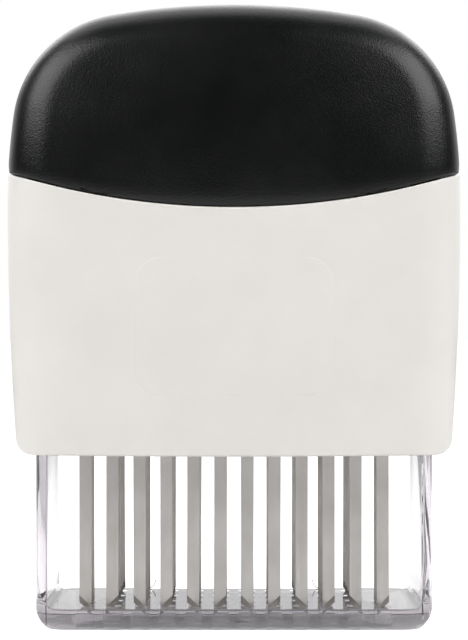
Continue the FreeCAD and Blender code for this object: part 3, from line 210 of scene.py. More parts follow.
column_pitch = 6.17 * mm
row_pitch = 8.33 * mm
blade_width = 2.85 * mm
blade_thickness = 0.6 * mm
blade_low = 2.7 * mm
blade_top = 54.5 * mm
ground_length = 1.2 * mm * math.sqrt(2)
edge_land = 0.06 * mm
corner_ease = 0.07 * mm
free_top, free_length = 46 * mm, 44 * mm
turn_spread, bend_spread = math.radians(0.8), 0.09 * mm
# The first and last column of each row, counted from the front and from the left
blade_rows = {1: (1, 12), 2: (1, 12), 3: (2, 11), 4: (2, 11)}


def skin_mesh(name, grids, rows_meet=False, columns_meet=False, dropped=(), joins=()):
    """A mesh from grids of points: every four neighbours make a face.

    Rows or columns that meet are joined round. Points that coincide are merged into one, and
    the faces are turned outwards. Dropped is a mask of faces left out, joins are extra faces.
    """
    points, faces, start = [], [], 0
    for grid in grids:
        rows, columns = grid.shape[:2]
        index = start + np.arange(rows * columns).reshape(rows, columns)
        start += rows * columns
        if rows_meet:
            index = np.vstack([index, index[:1]])
        if columns_meet:
            index = np.hstack([index, index[:, :1]])
        quads = np.stack([index[:-1, :-1], index[:-1, 1:], index[1:, 1:], index[1:, :-1]], axis=-1)
        if len(dropped):
            quads = quads[~dropped]
        points.append(grid.reshape(-1, 3))
        faces.append(quads.reshape(-1, 4))
    faces += [np.asarray(join) for join in joins]
    mesh = bpy.data.meshes.new(name)
    mesh.from_pydata(np.concatenate(points).tolist(), [], np.concatenate(faces).tolist())
    work = bmesh.new()
    work.from_mesh(mesh)
    bmesh.ops.remove_doubles(work, verts=work.verts, dist=0.0002 * mm)
    bmesh.ops.dissolve_degenerate(work, edges=work.edges, dist=0.0001 * mm)
    bmesh.ops.recalc_face_normals(work, faces=work.faces)
    work.to_mesh(mesh)
    work.free()
    return mesh


def new_piece(name, mesh, material, body, sharp=40.0):
    """Puts a mesh into the scene with smooth faces and lets it ride on a body."""
    mesh.shade_smooth()
    mesh.set_sharp_from_angle(angle=math.radians(sharp))
    mesh.materials.append(material)
    piece = bpy.data.objects.new(name, mesh)
    scene.collection.objects.link(piece)
    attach(piece, body)
    return piece


def blade_grid(x, y, lean, turn, bend):
    """One strip: a section with eased corners, carried from the top down to the slanting edge.

    Below the ground line the front face runs back towards the edge. From the holder to its tip
    the strip turns evenly about its own axis, and bends with the square of its hanging length.
    """
    half_x, half_y, ease = blade_width / 2, blade_thickness / 2, corner_ease
    across = np.array([-half_x, -half_x + ease, half_x - ease, half_x])
    around_x = np.concatenate([across, across[::-1]])
    inset = np.array([ease, 0, 0, ease])
    around_y = np.concatenate([-half_y + inset, half_y - inset[::-1]])
    front = np.arange(8) < 4
    edge = blade_low + half_x - lean * around_x
    ground = edge + ground_length
    heights = np.linspace(blade_top, blade_low + blade_width + ground_length + 1 * mm, 24)
    straight = np.broadcast_to(heights[:, None], (len(heights), 8))
    z = np.vstack([straight, ground, edge, edge])
    tip_y = np.where(front, half_y - edge_land, around_y)
    ys = np.vstack([np.broadcast_to(around_y, (len(heights) + 1, 8)), tip_y, tip_y * 0 + half_y])
    xs = np.broadcast_to(around_x, z.shape)
    xs = np.vstack([xs[:1] * 0, xs])
    ys = np.vstack([ys[:1] * 0, ys])
    z = np.vstack([z[:1], z])
    hanging = np.clip((free_top - z) / free_length, 0, 1)
    angle, sway = turn * hanging, hanging**2
    px = x + xs * np.cos(angle) - ys * np.sin(angle) + bend[0] * sway
    py = y + xs * np.sin(angle) + ys * np.cos(angle) + bend[1] * sway
    return np.stack([px, py, z], axis=-1)


# Drawn steel: streaks along the strip, cloudy tarnish and fine rolling lines
drawn_steel, steel_in, steel_out = effect_group(
    "drawn_steel", {"Streak Scale": 2600.0}, ["Streak", "Cloud"]
)
place = drawn_steel.nodes.new("ShaderNodeTexCoord").outputs["Object"]
stretch = drawn_steel.nodes.new("ShaderNodeMapping")
stretch.inputs["Scale"].default_value = (1.0, 1.0, 0.02)
drawn_steel.links.new(place, stretch.inputs["Vector"])
streak = noise(drawn_steel, stretch.outputs[0], steel_in.outputs["Streak Scale"], 3.0)
cloud = noise(drawn_steel, place, 90.0, 3.0)
drawn_steel.links.new(streak, steel_out.inputs["Streak"])
drawn_steel.links.new(cloud, steel_out.inputs["Cloud"])


def steel(name, dark, light, roughness, depth, streak_scale=2600.0):
    """Bright metal whose colour clouds slowly and whose gloss and relief follow its streaks."""
    material, tree, shader = new_material(name)
    marks = use_group(tree, drawn_steel, Streak_Scale=streak_scale)
    shader.inputs["Metallic"].default_value = 1.0
    shade = spread(tree, marks.outputs["Cloud"], 0.0, 1.0)
    tree.links.new(between(tree, shade, dark, light), shader.inputs["Base Color"])
    gloss = spread(tree, marks.outputs["Streak"], roughness[0], roughness[1])
    tree.links.new(gloss, shader.inputs["Roughness"])
    relief(tree, shader, marks.outputs["Streak"], depth)
    return material


blade_steel = steel(
    "blade_steel", paint(208, 204, 200), paint(224, 221, 218), (0.28, 0.42), 0.003 * mm
)
# The ground facets get a darker copy of the blade steel. Its finer streaks and gloss are the
# grinding's own, but its darker colour is painted shade for the facets' darker reflection.
ground_steel_painted_shade = steel(
    "ground_steel_painted_shade", paint(150, 145, 138), paint(168, 163, 157), (0.3, 0.4), 0.004 * mm, 5200.0
)
chance = np.random.default_rng(7)
for row, (first, last) in blade_rows.items():
    strips = []
    for column in range(first, last + 1):
        turn = chance.normal(0.0, turn_spread)
        bend = chance.normal(0.0, bend_spread, 2)
        lean = 1 if column % 2 else -1
        x, y = column_pitch * (column - 6.5), row_pitch * (row - 2.5)
        strips.append(blade_grid(x, y, lean, turn, bend))
    mesh = skin_mesh(f"blades_row_{row}", strips, columns_meet=True)
    blades = new_piece(f"blades_row_{row}", mesh, blade_steel, "handle", sharp=12.0)
    mesh.materials.append(ground_steel_painted_shade)
    normals = np.empty((len(mesh.polygons), 3))
    mesh.polygons.foreach_get("normal", normals.ravel())
    # Faces turned forward and down are the ground facets, which take the steel with painted shade.
    ground = (normals[:, 1] < -0.5) & (normals[:, 2] < -0.1)
    mesh.polygons.foreach_set("material_index", ground.astype(np.int32))
    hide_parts(f"blade_row_{row}")

# Rods and screws
# Bright drawn steel: twelve thin rods through the blades, four guide rods for the guard, and pan
# head screws that hold the holder to the frame and the cap to the housing.

bright_steel = steel(
    "bright_steel", paint(176, 176, 175), paint(206, 206, 204), (0.18, 0.3), 0.002 * mm
)
fixings = ["cap_screws", "holder_screws"]
fixings += [name for name in nodes if name.startswith(("blade_rod_", "guide_rod_"))]
dress(fixings, bright_steel)

# Stop sleeves
# Short black tubes of tough plastic, slipped over the guide rods. The guard's lugs rest on them.

sleeve_plastic = moulded_plastic(
    "sleeve_plastic", paint(34, 34, 35), paint(46, 46, 47), (0.4, 0.55), 1800.0, 0.01 * mm
)
dress([name for name in nodes if name.startswith("stop_sleeve_")], sleeve_plastic)

# Guard springs
# Four compression springs of round spring wire, each on a guide rod between the guard's lug and
# the frame's deck. They push the guard down over the blades.

guide_x, guide_y = 38.0 * mm, 12.5 * mm
guard_spring_foot, guard_spring_head = 70.1 * mm, 105.9 * mm
guard_wire, guard_coil_diameter, guard_coil_turns = 0.8 * mm, 5.8 * mm, 5


def coil_grid(start, length, wire, mean_diameter, turns, axis=2, way=1):
    """A round wire along a helix, its end faces closed at their middles.

    Each ring of the wire lies in the plane of the coil's radius and the direction square to
    both the radius and the helix. Axis is the coil's axis, and way its direction.
    """
    angle = np.linspace(0, 2 * np.pi * turns, int(turns * 32) + 1)[:, None]
    around = np.linspace(0, 2 * np.pi, 13)[None, :-1]
    rise = (length - wire) / (2 * np.pi * turns)
    radius = mean_diameter / 2
    slope = math.hypot(radius, rise)
    outward = wire / 2 * np.cos(around)
    sideways = wire / 2 * np.sin(around)
    px = (radius + outward) * np.cos(angle) + sideways * rise / slope * np.sin(angle)
    py = (radius + outward) * np.sin(angle) - sideways * rise / slope * np.cos(angle)
    pz = wire / 2 + rise * angle + sideways * radius / slope
    rings = np.stack([px, py, pz], axis=-1)
    middles = rings.mean(axis=1, keepdims=True)
    rings = np.concatenate([rings[:1] * 0 + middles[:1], rings, rings[:1] * 0 + middles[-1:]])
    if axis == 0:
        rings = rings[..., [2, 1, 0]]
    rings[..., axis] *= way
    return rings + np.array(start)


spring_steel = steel(
    "spring_steel", paint(150, 150, 152), paint(182, 182, 184), (0.25, 0.4), 0.003 * mm
)
for corner, (side, depth) in {
    "front_left": (-1, -1),
    "front_right": (1, -1),
    "back_left": (-1, 1),
    "back_right": (1, 1),
}.items():
    foot = (guide_x * side, guide_y * depth, guard_spring_foot)
    length = guard_spring_head - guard_spring_foot
    coil = coil_grid(foot, length, guard_wire, guard_coil_diameter, guard_coil_turns)
    mesh = skin_mesh(f"guard_coil_{corner}", [coil], columns_meet=True)
    spring = new_piece(f"guard_coil_{corner}", mesh, spring_steel, "handle")
    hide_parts(f"guard_spring_{corner}")
    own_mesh(spring)

# Clear guard
# One injection moulding of clear polymer: a slotted plate with a rounded rim, two end walls with
# arms and lugs, and a rear tongue. It is polished, and its thick parts look faintly grey-violet.

clear_polymer, tree, shader = new_material("clear_polymer")
skin = use_group(tree, moulded_skin, Mottle_Scale=45.0, Grain_Scale=160.0)
shade = spread(tree, skin.outputs["Mottle"], 0.0, 1.0)
tint = between(tree, shade, paint(248, 247, 249), paint(252, 252, 253))
tree.links.new(tint, shader.inputs["Base Color"])
gloss = spread(tree, skin.outputs["Mottle"], 0.01, 0.04)
tree.links.new(gloss, shader.inputs["Roughness"])
shader.inputs["Transmission Weight"].default_value = 1.0
shader.inputs["IOR"].default_value = 1.49
relief(tree, shader, skin.outputs["Grain"], 0.006 * mm)
haze = tree.nodes.new("ShaderNodeVolumeAbsorption")
haze.inputs["Color"].default_value = (0.62, 0.58, 0.62, 1.0)
haze.inputs["Density"].default_value = 42.0
tree.links.new(haze.outputs[0], tree.nodes["Material Output"].inputs["Volume"])
dress(["clear_guard"], clear_polymer)
guard = nodes["clear_guard"]
weld = guard.modifiers.new("weld", "WELD")
weld.merge_threshold = 0.001 * mm
flat = guard.modifiers.new("flat", "DECIMATE")
flat.decimate_type = "DISSOLVE"
flat.angle_limit = math.radians(0.5)


def mark_rim(piece, sharp, inner_x, inner_y, highest):
    """Shades a CAD node's faces smoothly and marks the sharp edges of its rim for rounding.

    An edge is on the rim where it lies below a height and outside a rectangle round the slots.
    """
    group = bpy.data.node_groups.new("mark_rim", "GeometryNodeTree")
    for way in ("INPUT", "OUTPUT"):
        group.interface.new_socket("Geometry", in_out=way, socket_type="NodeSocketGeometry")
    start, end = group.nodes.new("NodeGroupInput"), group.nodes.new("NodeGroupOutput")

    def compare(value, way, limit):
        test = group.nodes.new("FunctionNodeCompare")
        test.operation = way
        test.inputs["B"].default_value = limit
        group.links.new(value, test.inputs["A"])
        return test.outputs[0]

    def logic(way, first, second):
        node = group.nodes.new("FunctionNodeBooleanMath")
        node.operation = way
        group.links.new(first, node.inputs[0])
        group.links.new(second, node.inputs[1])
        return node.outputs[0]

    bend = group.nodes.new("GeometryNodeInputMeshEdgeAngle").outputs["Unsigned Angle"]
    place = group.nodes.new("GeometryNodeInputPosition")
    size = group.nodes.new("ShaderNodeVectorMath")
    size.operation = "ABSOLUTE"
    group.links.new(place.outputs[0], size.inputs[0])
    split = group.nodes.new("ShaderNodeSeparateXYZ")
    group.links.new(size.outputs[0], split.inputs[0])
    outside = logic(
        "OR",
        compare(split.outputs["X"], "GREATER_THAN", inner_x),
        compare(split.outputs["Y"], "GREATER_THAN", inner_y),
    )
    rim = logic("AND", outside, compare(split.outputs["Z"], "LESS_THAN", highest))
    rim = logic("AND", rim, compare(bend, "GREATER_THAN", math.radians(sharp)))
    smooth = [group.nodes.new("GeometryNodeSetShadeSmooth") for _ in range(2)]
    smooth[0].domain, smooth[1].domain = "FACE", "EDGE"
    group.links.new(start.outputs[0], smooth[0].inputs["Geometry"])
    group.links.new(smooth[0].outputs[0], smooth[1].inputs["Geometry"])
    soft = compare(bend, "LESS_THAN", math.radians(sharp))
    group.links.new(soft, smooth[1].inputs["Shade Smooth"])
    weight = group.nodes.new("GeometryNodeStoreNamedAttribute")
    weight.domain, weight.data_type = "EDGE", "FLOAT"
    weight.inputs["Name"].default_value = "bevel_weight_edge"
    group.links.new(smooth[1].outputs[0], weight.inputs["Geometry"])
    group.links.new(rim, weight.inputs["Value"])
    group.links.new(weight.outputs[0], end.inputs[0])
    piece.modifiers.new("marks", "NODES").node_group = group


slots_half_width, slots_half_depth, rim_top = 37.0 * mm, 16.0 * mm, 8.0 * mm
mark_rim(guard, 40, slots_half_width, slots_half_depth, rim_top)
edge = guard.modifiers.new("bevel", "BEVEL")
edge.width = 0.35 * mm
edge.segments = 2
edge.limit_method = "WEIGHT"
edge.harden_normals = True
edge.use_clamp_overlap = False

# Housing
# A white injection-moulded shell, open below and closed by the cap. Its faces bulge a little, its
# ends are flat, and each end has a window for a release button.

body_width, body_depth, body_top = 104.4 * mm, 47.0 * mm, 142.79 * mm
widest_height, low_side_radius, high_side_radius = 96.0 * mm, 760.0 * mm, 170.0 * mm
face_radius, lean_height, lean_radius = 260.0 * mm, 100.0 * mm, 120.0 * mm
edge_radius = 12.0 * mm
seam_height, seam_radius, seam_gap = 95.3 * mm, 168.0 * mm, 0.1 * mm
housing_foot, foot_radius, housing_wall = 39.5 * mm, 4.5 * mm, 2.2 * mm
window_half_width, window_low, window_high = 6.0 * mm, 75.5 * mm, 87.0 * mm
window_corner = 2.0 * mm
housing_step = 0.1 * mm


def half_width(z):
    """Half the body's width: a flat arc below its widest height and a rounder one above."""
    radius = np.where(z < widest_height, low_side_radius, high_side_radius)
    return body_width / 2 - radius + np.sqrt(radius**2 - (z - widest_height) ** 2)


def lean(z):
    """How far the faces lean in: an arc above the lean height, nothing below it."""
    above = np.clip(z - lean_height, 0, None)
    return lean_radius - np.sqrt(lean_radius**2 - above**2)


def half_depth(x, z):
    """Half the body's depth: an arc seen from above, less the lean."""
    return np.sqrt((face_radius - lean(z)) ** 2 - x**2) - face_radius + body_depth / 2


def seam(x):
    """Height of the parting line: an arc seen from the front."""
    return seam_height + seam_radius - np.sqrt(seam_radius**2 - x**2)


def foot_line(x):
    """Height of the housing's lower rim: flat, with a quarter circle at each end."""
    corner = half_width(housing_foot + foot_radius) - foot_radius
    out = np.clip(np.abs(x) - corner, 0, foot_radius)
    return housing_foot + foot_radius - np.sqrt(foot_radius**2 - out**2)


def body_section(z, inset):
    """A closed level section: bulged faces, round corners and flat ends, moved in by an inset.

    One quarter is laid out from the middle of the back to the middle of the right end: along the
    face arc to where the corner arc touches it, round the corner, and down the end to its middle.
    The other three are its mirror images.
    """
    end = half_width(z) - inset
    face = face_radius - lean(z) - inset
    corner = edge_radius - inset
    middle = body_depth / 2 - face_radius
    corner_x = end - corner
    corner_y = middle + np.sqrt((face - corner) ** 2 - corner_x**2)
    tilt = np.arctan2(corner_x, corner_y - middle)
    along = np.linspace(0, 1, 28)[None, :]
    face_angle = tilt * along
    turn_angle = tilt + (np.pi / 2 - tilt) * np.linspace(0, 1, 13)[None, 1:]
    down = np.linspace(0, 1, 4)[None, 1:]
    rest = window_half_width * np.linspace(1, 0, 9)[None, 1:]
    xs = [face * np.sin(face_angle), corner_x + corner * np.sin(turn_angle)]
    ys = [middle + face * np.cos(face_angle), corner_y + corner * np.cos(turn_angle)]
    xs += [end + 0 * down, end + 0 * rest]
    ys += [corner_y + (window_half_width - corner_y) * down, 0 * end + rest]
    x, y = np.hstack(xs), np.hstack(ys)
    loop_x = np.hstack([x, x[:, -2::-1], -x[:, 1:], -x[:, -2:0:-1]])
    loop_y = np.hstack([y, -y[:, -2::-1], -y[:, 1:], y[:, -2:0:-1]])
    return loop_x, loop_y


def column_heights(levels, x):
    """Heights of one wall's points: rows shared out between the rim, the window and the seam."""
    low, high = foot_line(x), seam(x) - seam_gap
    lower = low + (window_low - low) * np.clip(levels, 0, 1)
    middle = (window_high - window_low) * np.clip(levels - 1, 0, 1)
    upper = (high - window_high) * np.clip(levels - 2, 0, 1)
    return lower + middle + upper


def wall_points(inset, level_height=None):
    """One wall of the housing from its rim to the seam, as a grid of points.

    The rows' heights depend on where their points lie and the points on the heights, so both are
    worked out in turn. A given level height makes the wall upright, with one section all the way.
    """
    steps = (np.linspace(0, 1, 19), np.linspace(1, 2, 13)[1:], np.linspace(2, 3, 10)[1:])
    levels = np.concatenate(steps)[:, None]
    z = housing_foot + (seam_height - housing_foot) * levels / 3
    for _ in range(4):
        at = z if level_height is None else z * 0 + level_height
        x, y = section_at(at, inset)
        z = column_heights(levels, x)
    return np.stack([x, y, z], axis=-1)


def section_at(z, inset):
    """The level section of each row, with every point taken at its own height."""
    if z.shape[1] == 1:
        return body_section(z, inset)
    xs, ys = np.empty(z.shape), np.empty(z.shape)
    for j in range(z.shape[1]):
        x, y = body_section(z[:, j : j + 1], inset)
        xs[:, j], ys[:, j] = x[:, j], y[:, j]
    return xs, ys


outer = wall_points(housing_step)
inner = wall_points(housing_wall, housing_foot)
share = np.linspace(0, 1, 6)[1:-1, None, None]
rim = outer[:1] + (inner[:1] - outer[:1]) * share
rim[..., 2] = foot_line(rim[..., 0])


def round_window(points, low_row, high_row, hole):
    """Moves the window's edge points in its corners onto arcs about the corners' centres."""
    block = points[low_row : high_row + 1]
    centre_z = (window_low + window_high) / 2
    reach_y = window_half_width - window_corner
    reach_z = (window_high - window_low) / 2 - window_corner
    dy = np.abs(block[..., 1]) - reach_y
    dz = np.abs(block[..., 2] - centre_z) - reach_z
    size = np.hypot(dy, dz)
    corner = hole & (dy > 0) & (dz > 0) & (size > window_corner)
    pull = np.where(corner, window_corner / np.maximum(size, 1e-9), 1.0)
    new_y = np.sign(block[..., 1]) * (reach_y + dy * pull)
    new_z = centre_z + np.sign(block[..., 2] - centre_z) * (reach_z + dz * pull)
    block[..., 1] = np.where(corner, new_y, block[..., 1])
    block[..., 2] = np.where(corner, new_z, block[..., 2])


# The wall's rows at the window's lower and upper edge, and the columns that lie across it
low_row, high_row = 18, 30
rows, columns = outer.shape[:2]
at_end = np.abs(outer[low_row, :, 1]) < window_half_width + 0.01 * mm
at_end &= np.abs(outer[low_row, :, 0]) > 45 * mm
for wall in (outer, inner):
    round_window(wall, low_row, high_row, at_end[None, :])
points = np.concatenate([outer, inner[::-1], rim[::-1]])
total_rows = len(points)
open_column = at_end & np.roll(at_end, -1)
dropped = np.zeros((total_rows, columns), bool)
dropped[low_row:high_row] = open_column
inner_low = 2 * rows - 1 - low_row
inner_high = 2 * rows - 1 - high_row
dropped[inner_high:inner_low] = open_column


def tunnel(first_column, last_column):
    """Faces through the wall round one window, from its outer edge to its inner edge."""
    span = np.arange(first_column, last_column + 1)
    climb = np.arange(low_row, high_row + 1)
    ring_rows = np.concatenate(
        [span * 0 + low_row, climb[1:], span[1:] * 0 + high_row, climb[::-1][1:-1]]
    )
    ring_columns = np.concatenate(
        [span, climb[1:] * 0 + last_column, span[::-1][1:], climb[::-1][1:-1] * 0 + first_column]
    )
    outside = ring_rows * columns + ring_columns
    inside = (2 * rows - 1 - ring_rows) * columns + ring_columns
    return np.stack([outside, np.roll(outside, -1), np.roll(inside, -1), inside], axis=-1)


end_columns = np.flatnonzero(at_end)
right = end_columns[end_columns < columns // 2]
left = end_columns[end_columns >= columns // 2]
joins = [tunnel(run[0], run[-1]) for run in (right, left)]
mesh = skin_mesh("housing", [points], True, True, dropped, joins)
housing_plastic = moulded_plastic(
    "housing_plastic", paint(231, 228, 223), paint(235, 232, 228), (0.3, 0.38), 1500.0, 0.003 * mm
)
housing = new_piece("housing", mesh, housing_plastic, "handle", sharp=35.0)
ease = housing.modifiers.new("ease", "BEVEL")
ease.width = 0.4 * mm
ease.segments = 3
ease.limit_method = "ANGLE"
ease.angle_limit = math.radians(50)
ease.use_clamp_overlap = False
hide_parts("housing_shell")

# Front pad
# A shallow raised field with round corners in the middle of the housing's front, moulded with it.
# It is left bare.

pad_width, pad_height, pad_middle = 44.6 * mm, 31.2 * mm, 68.6 * mm
pad_corner, pad_edge = 5.8 * mm, 0.5 * mm
pad_sunk, pad_rise = 0.5 * mm, housing_step - 0.004 * mm
turns = np.linspace(0, np.pi / 2, 13)
quarter_x = np.concatenate([np.cos(turns), [0.0]])
quarter_z = np.concatenate([np.sin(turns), [1.0]])


def pad_ring(inset, height):
    """A rounded rectangle on the front face, moved in from the pad's outline and raised."""
    corner = pad_corner - inset
    reach_x = np.append(np.full(13, pad_width / 2 - pad_corner), 0.0)
    reach_z = np.full(14, pad_height / 2 - pad_corner)
    x, z = reach_x + corner * quarter_x, reach_z + corner * quarter_z
    loop_x = np.concatenate([x, -x[-2::-1], -x[1:], x[-2:0:-1]])
    loop_z = np.concatenate([z, z[-2::-1], -z[1:], -z[-2:0:-1]])
    y = -(half_depth(loop_x, loop_z * 0 + pad_middle) - housing_step + height)
    return np.stack([loop_x, y, loop_z + pad_middle], axis=-1)


profile = np.linspace(0, 1, 7)
# Its edge rises along a cubic that starts and ends level
rings = [pad_ring(0.0, -pad_sunk)]
for t in profile:
    rings.append(pad_ring(pad_edge * t, housing_step * (3 * t**2 - 2 * t**3) - 0.004 * mm))
rings += [pad_ring(inset * mm, pad_rise) for inset in (1.5, 3.5, 5.6)]


def closing_rings(ring, shares):
    """Copies of a ring pressed flat in height towards the pad's middle."""
    flat = np.array([1.0, 1.0, 0.0])
    middle = np.array([0.0, 0.0, pad_middle])
    return [ring * flat + middle + (ring - middle) * (1 - flat) * share for share in shares]


back = rings[0] * np.array([0.75, 1.0, 0.75]) + np.array([0.0, 0.6 * mm, 0.25 * pad_middle])
rings = closing_rings(back, (0.0, 1.0)) + rings + closing_rings(rings[-1], (0.66, 0.33, 0.0))
mesh = skin_mesh("front_pad", [np.stack(rings)], columns_meet=True)
pad = new_piece("front_pad", mesh, housing_plastic, "handle", sharp=60.0)

# Release buttons
# Two black moulded buttons, one in each end. A flange behind the window holds each one in, and its
# stem passes through the frame's bracket, where a spring clip and a short coil spring sit on it.

button_plastic = moulded_plastic(
    "button_plastic", paint(30, 31, 32), paint(40, 41, 42), (0.42, 0.52), 1800.0, 0.012 * mm
)
button_spring_start, button_spring_end = 40.9 * mm, 45.7 * mm
button_wire, button_coil_diameter, button_coil_turns = 0.6 * mm, 6.4 * mm, 3
button_height, button_travel = 81.25 * mm, 2.3 * mm
for side, way in (("left", -1), ("right", 1)):
    dress([f"release_button_{side}"], button_plastic)
    ease_edges([f"release_button_{side}"], 0.35 * mm, 3)
    dress([f"button_clip_{side}"], spring_steel)
    length = button_spring_end - button_spring_start
    start = (button_spring_start * way, 0.0, button_height)
    size = (length, button_wire, button_coil_diameter, button_coil_turns)
    coil = coil_grid(start, *size, axis=0, way=way)
    mesh = skin_mesh(f"button_coil_{side}", [coil], columns_meet=True)
    spring = new_piece(f"button_coil_{side}", mesh, spring_steel, "handle")
    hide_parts(f"button_spring_{side}")
    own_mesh(spring)

# Handle cap
# The domed palm rest, moulded in black plastic with a fine matt grain. Its skirt plugs into the
# housing and four screws hold it from below; its small round lip steps in at the parting line.

shoulder_radius, crown_radius = 27.0 * mm, 176.0 * mm
side_centre = np.array([body_width / 2 - high_side_radius, widest_height])
crown_centre = np.array([0.0, body_top - crown_radius])
cap_wall, lip_step, lip_height = 2.2 * mm, 0.3 * mm, 3 * mm
core_half_width, seam_fade = 30 * mm, 15 * mm


def circle_crossing(a, reach_a, b, reach_b):
    """The right-hand point that lies at two given distances from two centres."""
    apart = b - a
    gap = np.hypot(*apart)
    along = (reach_a**2 - reach_b**2 + gap**2) / (2 * gap)
    off = math.sqrt(reach_a**2 - along**2)
    middle = a + apart * along / gap
    square = np.array([apart[1], -apart[0]]) * off / gap
    return max((middle + square).tolist(), (middle - square).tolist())


turn_centre = np.array(
    circle_crossing(
        side_centre,
        high_side_radius - shoulder_radius,
        crown_centre,
        crown_radius - shoulder_radius,
    )
)
side_turn = math.atan2(*(turn_centre - side_centre)[::-1])
crown_turn = math.atan2(*(turn_centre - crown_centre)[::-1])
# The angle at which the side arc meets the parting line, from a first guess
start_turn = 0.065
for _ in range(8):
    start_x = side_centre[0] + high_side_radius * math.cos(start_turn)
    start_turn = math.asin((seam(start_x) + seam_gap - widest_height) / high_side_radius)

# Angles, centres and radii of the right half of the outline, from the seam to the middle
runs = [
    (side_centre, high_side_radius, np.linspace(start_turn, side_turn, 20)[:-1]),
    (turn_centre, shoulder_radius, np.linspace(side_turn, crown_turn, 34)[:-1]),
    (crown_centre, crown_radius, np.linspace(crown_turn, math.pi / 2, 26)),
]
angles = np.concatenate([run[2] for run in runs])
centres = np.concatenate([np.tile(run[0], (len(run[2]), 1)) for run in runs])
radii = np.concatenate([np.full(len(run[2]), run[1]) for run in runs])


def outline_point(inset):
    """Points of the outline moved in by an inset; near the seam they slide along it.

    Every arc keeps its centre and its angles and only its radius shrinks. The first point of each
    inset outline is brought onto the parting line, and the shift fades out above it.
    """
    x = centres[:, 0] + (radii - inset) * np.cos(angles)
    z = centres[:, 1] + (radii - inset) * np.sin(angles)
    first_x, first_z = x[..., :1], z[..., :1]
    shift = seam(first_x) + seam_gap - first_z
    fade = np.clip(1 - (z - first_z) / seam_fade, 0, 1) ** 2
    return x, z + shift * fade


# How far in the rounded edge touches the face, and how much the face tilts there: each depends
# on the other, so both are worked out in turn
tilt = np.zeros_like(angles)
for _ in range(6):
    touch = edge_radius * (1 - np.sin(tilt))
    x, z = outline_point(touch)
    step = 0.05 * mm
    further = half_depth(*outline_point(touch + step)) - half_depth(*outline_point(touch - step))
    tilt = np.arctan(further / (2 * step))
touch = edge_radius * (1 - np.sin(tilt))
touch_x, touch_z = outline_point(touch)
roll_centre = half_depth(touch_x, touch_z) - edge_radius * np.cos(tilt)

# Rows from the core on the seam over the face, round the edge and to the middle of the end
core_x = core_half_width * (1 - np.linspace(0, 1, len(angles)))
touch_rise = touch_z - seam(touch_x) - seam_gap
share = (np.linspace(0, 1, 22)[:-1, None]) ** 0.9
face_x = core_x + (touch_x - core_x) * share
face_z = seam(face_x) + seam_gap + touch_rise * share
face_y = half_depth(face_x, face_z)
swing = (np.pi / 2 - tilt) * np.linspace(1, 0, 15)[:, None]
edge = [outline_point(edge_radius * (1 - np.cos(row))) for row in swing]
edge_x = np.stack([x for x, z in edge])
edge_z = np.stack([z for x, z in edge])
edge_y = roll_centre + edge_radius * np.sin(swing)
end_x, end_z = outline_point(0.0)
strip = np.linspace(1, 0, 5)[1:, None]
right_x = np.vstack([face_x, edge_x, end_x + 0 * strip])
right_z = np.vstack([face_z, edge_z, end_z + 0 * strip])
right_y = np.vstack([face_y, edge_y, roll_centre * strip])
front_x = np.hstack([-right_x, right_x[:, -2::-1]])
front_z = np.hstack([right_z, right_z[:, -2::-1]])
front_y = -np.hstack([right_y, right_y[:, -2::-1]])
lip_fade = np.clip(1 - (front_z - seam(front_x) - seam_gap) / lip_height, 0, 1) ** 2
front_x = front_x * (1 - lip_step * lip_fade / (body_width / 2))
front_y = front_y * (1 - lip_step * lip_fade / (body_depth / 2))
front = np.stack([front_x, front_y, front_z], axis=-1)
back = front[-2::-1] * np.array([1, -1, 1])
mesh = skin_mesh("palm_cap", [np.concatenate([front, back])])
if sum(polygon.normal.z * polygon.area for polygon in mesh.polygons) < 0:
    mesh.flip_normals()
cap_plastic = moulded_plastic(
    "cap_plastic", paint(9, 11, 10), paint(12, 14, 13), (0.28, 0.35), 2500.0, 0.052 * mm, 0.42
)
cap = new_piece("palm_cap", mesh, cap_plastic, "handle", sharp=50.0)
wall = cap.modifiers.new("wall", "SOLIDIFY")
wall.thickness = cap_wall
wall.offset = -1.0
lip = cap.modifiers.new("lip", "BEVEL")
lip.width = 0.35 * mm
lip.segments = 3
lip.limit_method = "ANGLE"
lip.angle_limit = math.radians(50)
lip.use_clamp_overlap = False
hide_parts("handle_cap")

# Floor
# A plain white floor that the camera sees as white, and that keeps the tool's soft shadow.

mesh = bpy.data.meshes.new("floor")
reach = 6.0
mesh.from_pydata(
    [(-reach, -reach, 0), (reach, -reach, 0), (reach, reach, 0), (-reach, reach, 0)],
    [],
    [(0, 1, 2, 3)],
)
floor_material, tree, shader = new_material("floor")
shader.inputs["Base Color"].default_value = (0.8, 0.8, 0.8, 1.0)
shader.inputs["Roughness"].default_value = 0.9
shader.inputs["Specular IOR Level"].default_value = 0.1


def ramp_of(tree, value, low, high, first, last):
    """A number that runs smoothly from first to last as a value runs from low to high."""
    ramp = tree.nodes.new("ShaderNodeMapRange")
    ramp.interpolation_type = "SMOOTHSTEP"
    for label, limit in (
        ("From Min", low),
        ("From Max", high),
        ("To Min", first),
        ("To Max", last),
    ):
        ramp.inputs[label].default_value = limit
    tree.links.new(value, ramp.inputs["Value"])
    return ramp.outputs[0]


def joined(tree, operation, first, second):
    """A math node of two numbers."""
    node = tree.nodes.new("ShaderNodeMath")
    node.operation = operation
    tree.links.new(first, node.inputs[0])
    tree.links.new(second, node.inputs[1])
    return node.outputs[0]


def length_of(tree, vector):
    """The length of a vector."""
    node = tree.nodes.new("ShaderNodeVectorMath")
    node.operation = "LENGTH"
    tree.links.new(vector, node.inputs[0])
    return node.outputs["Value"]
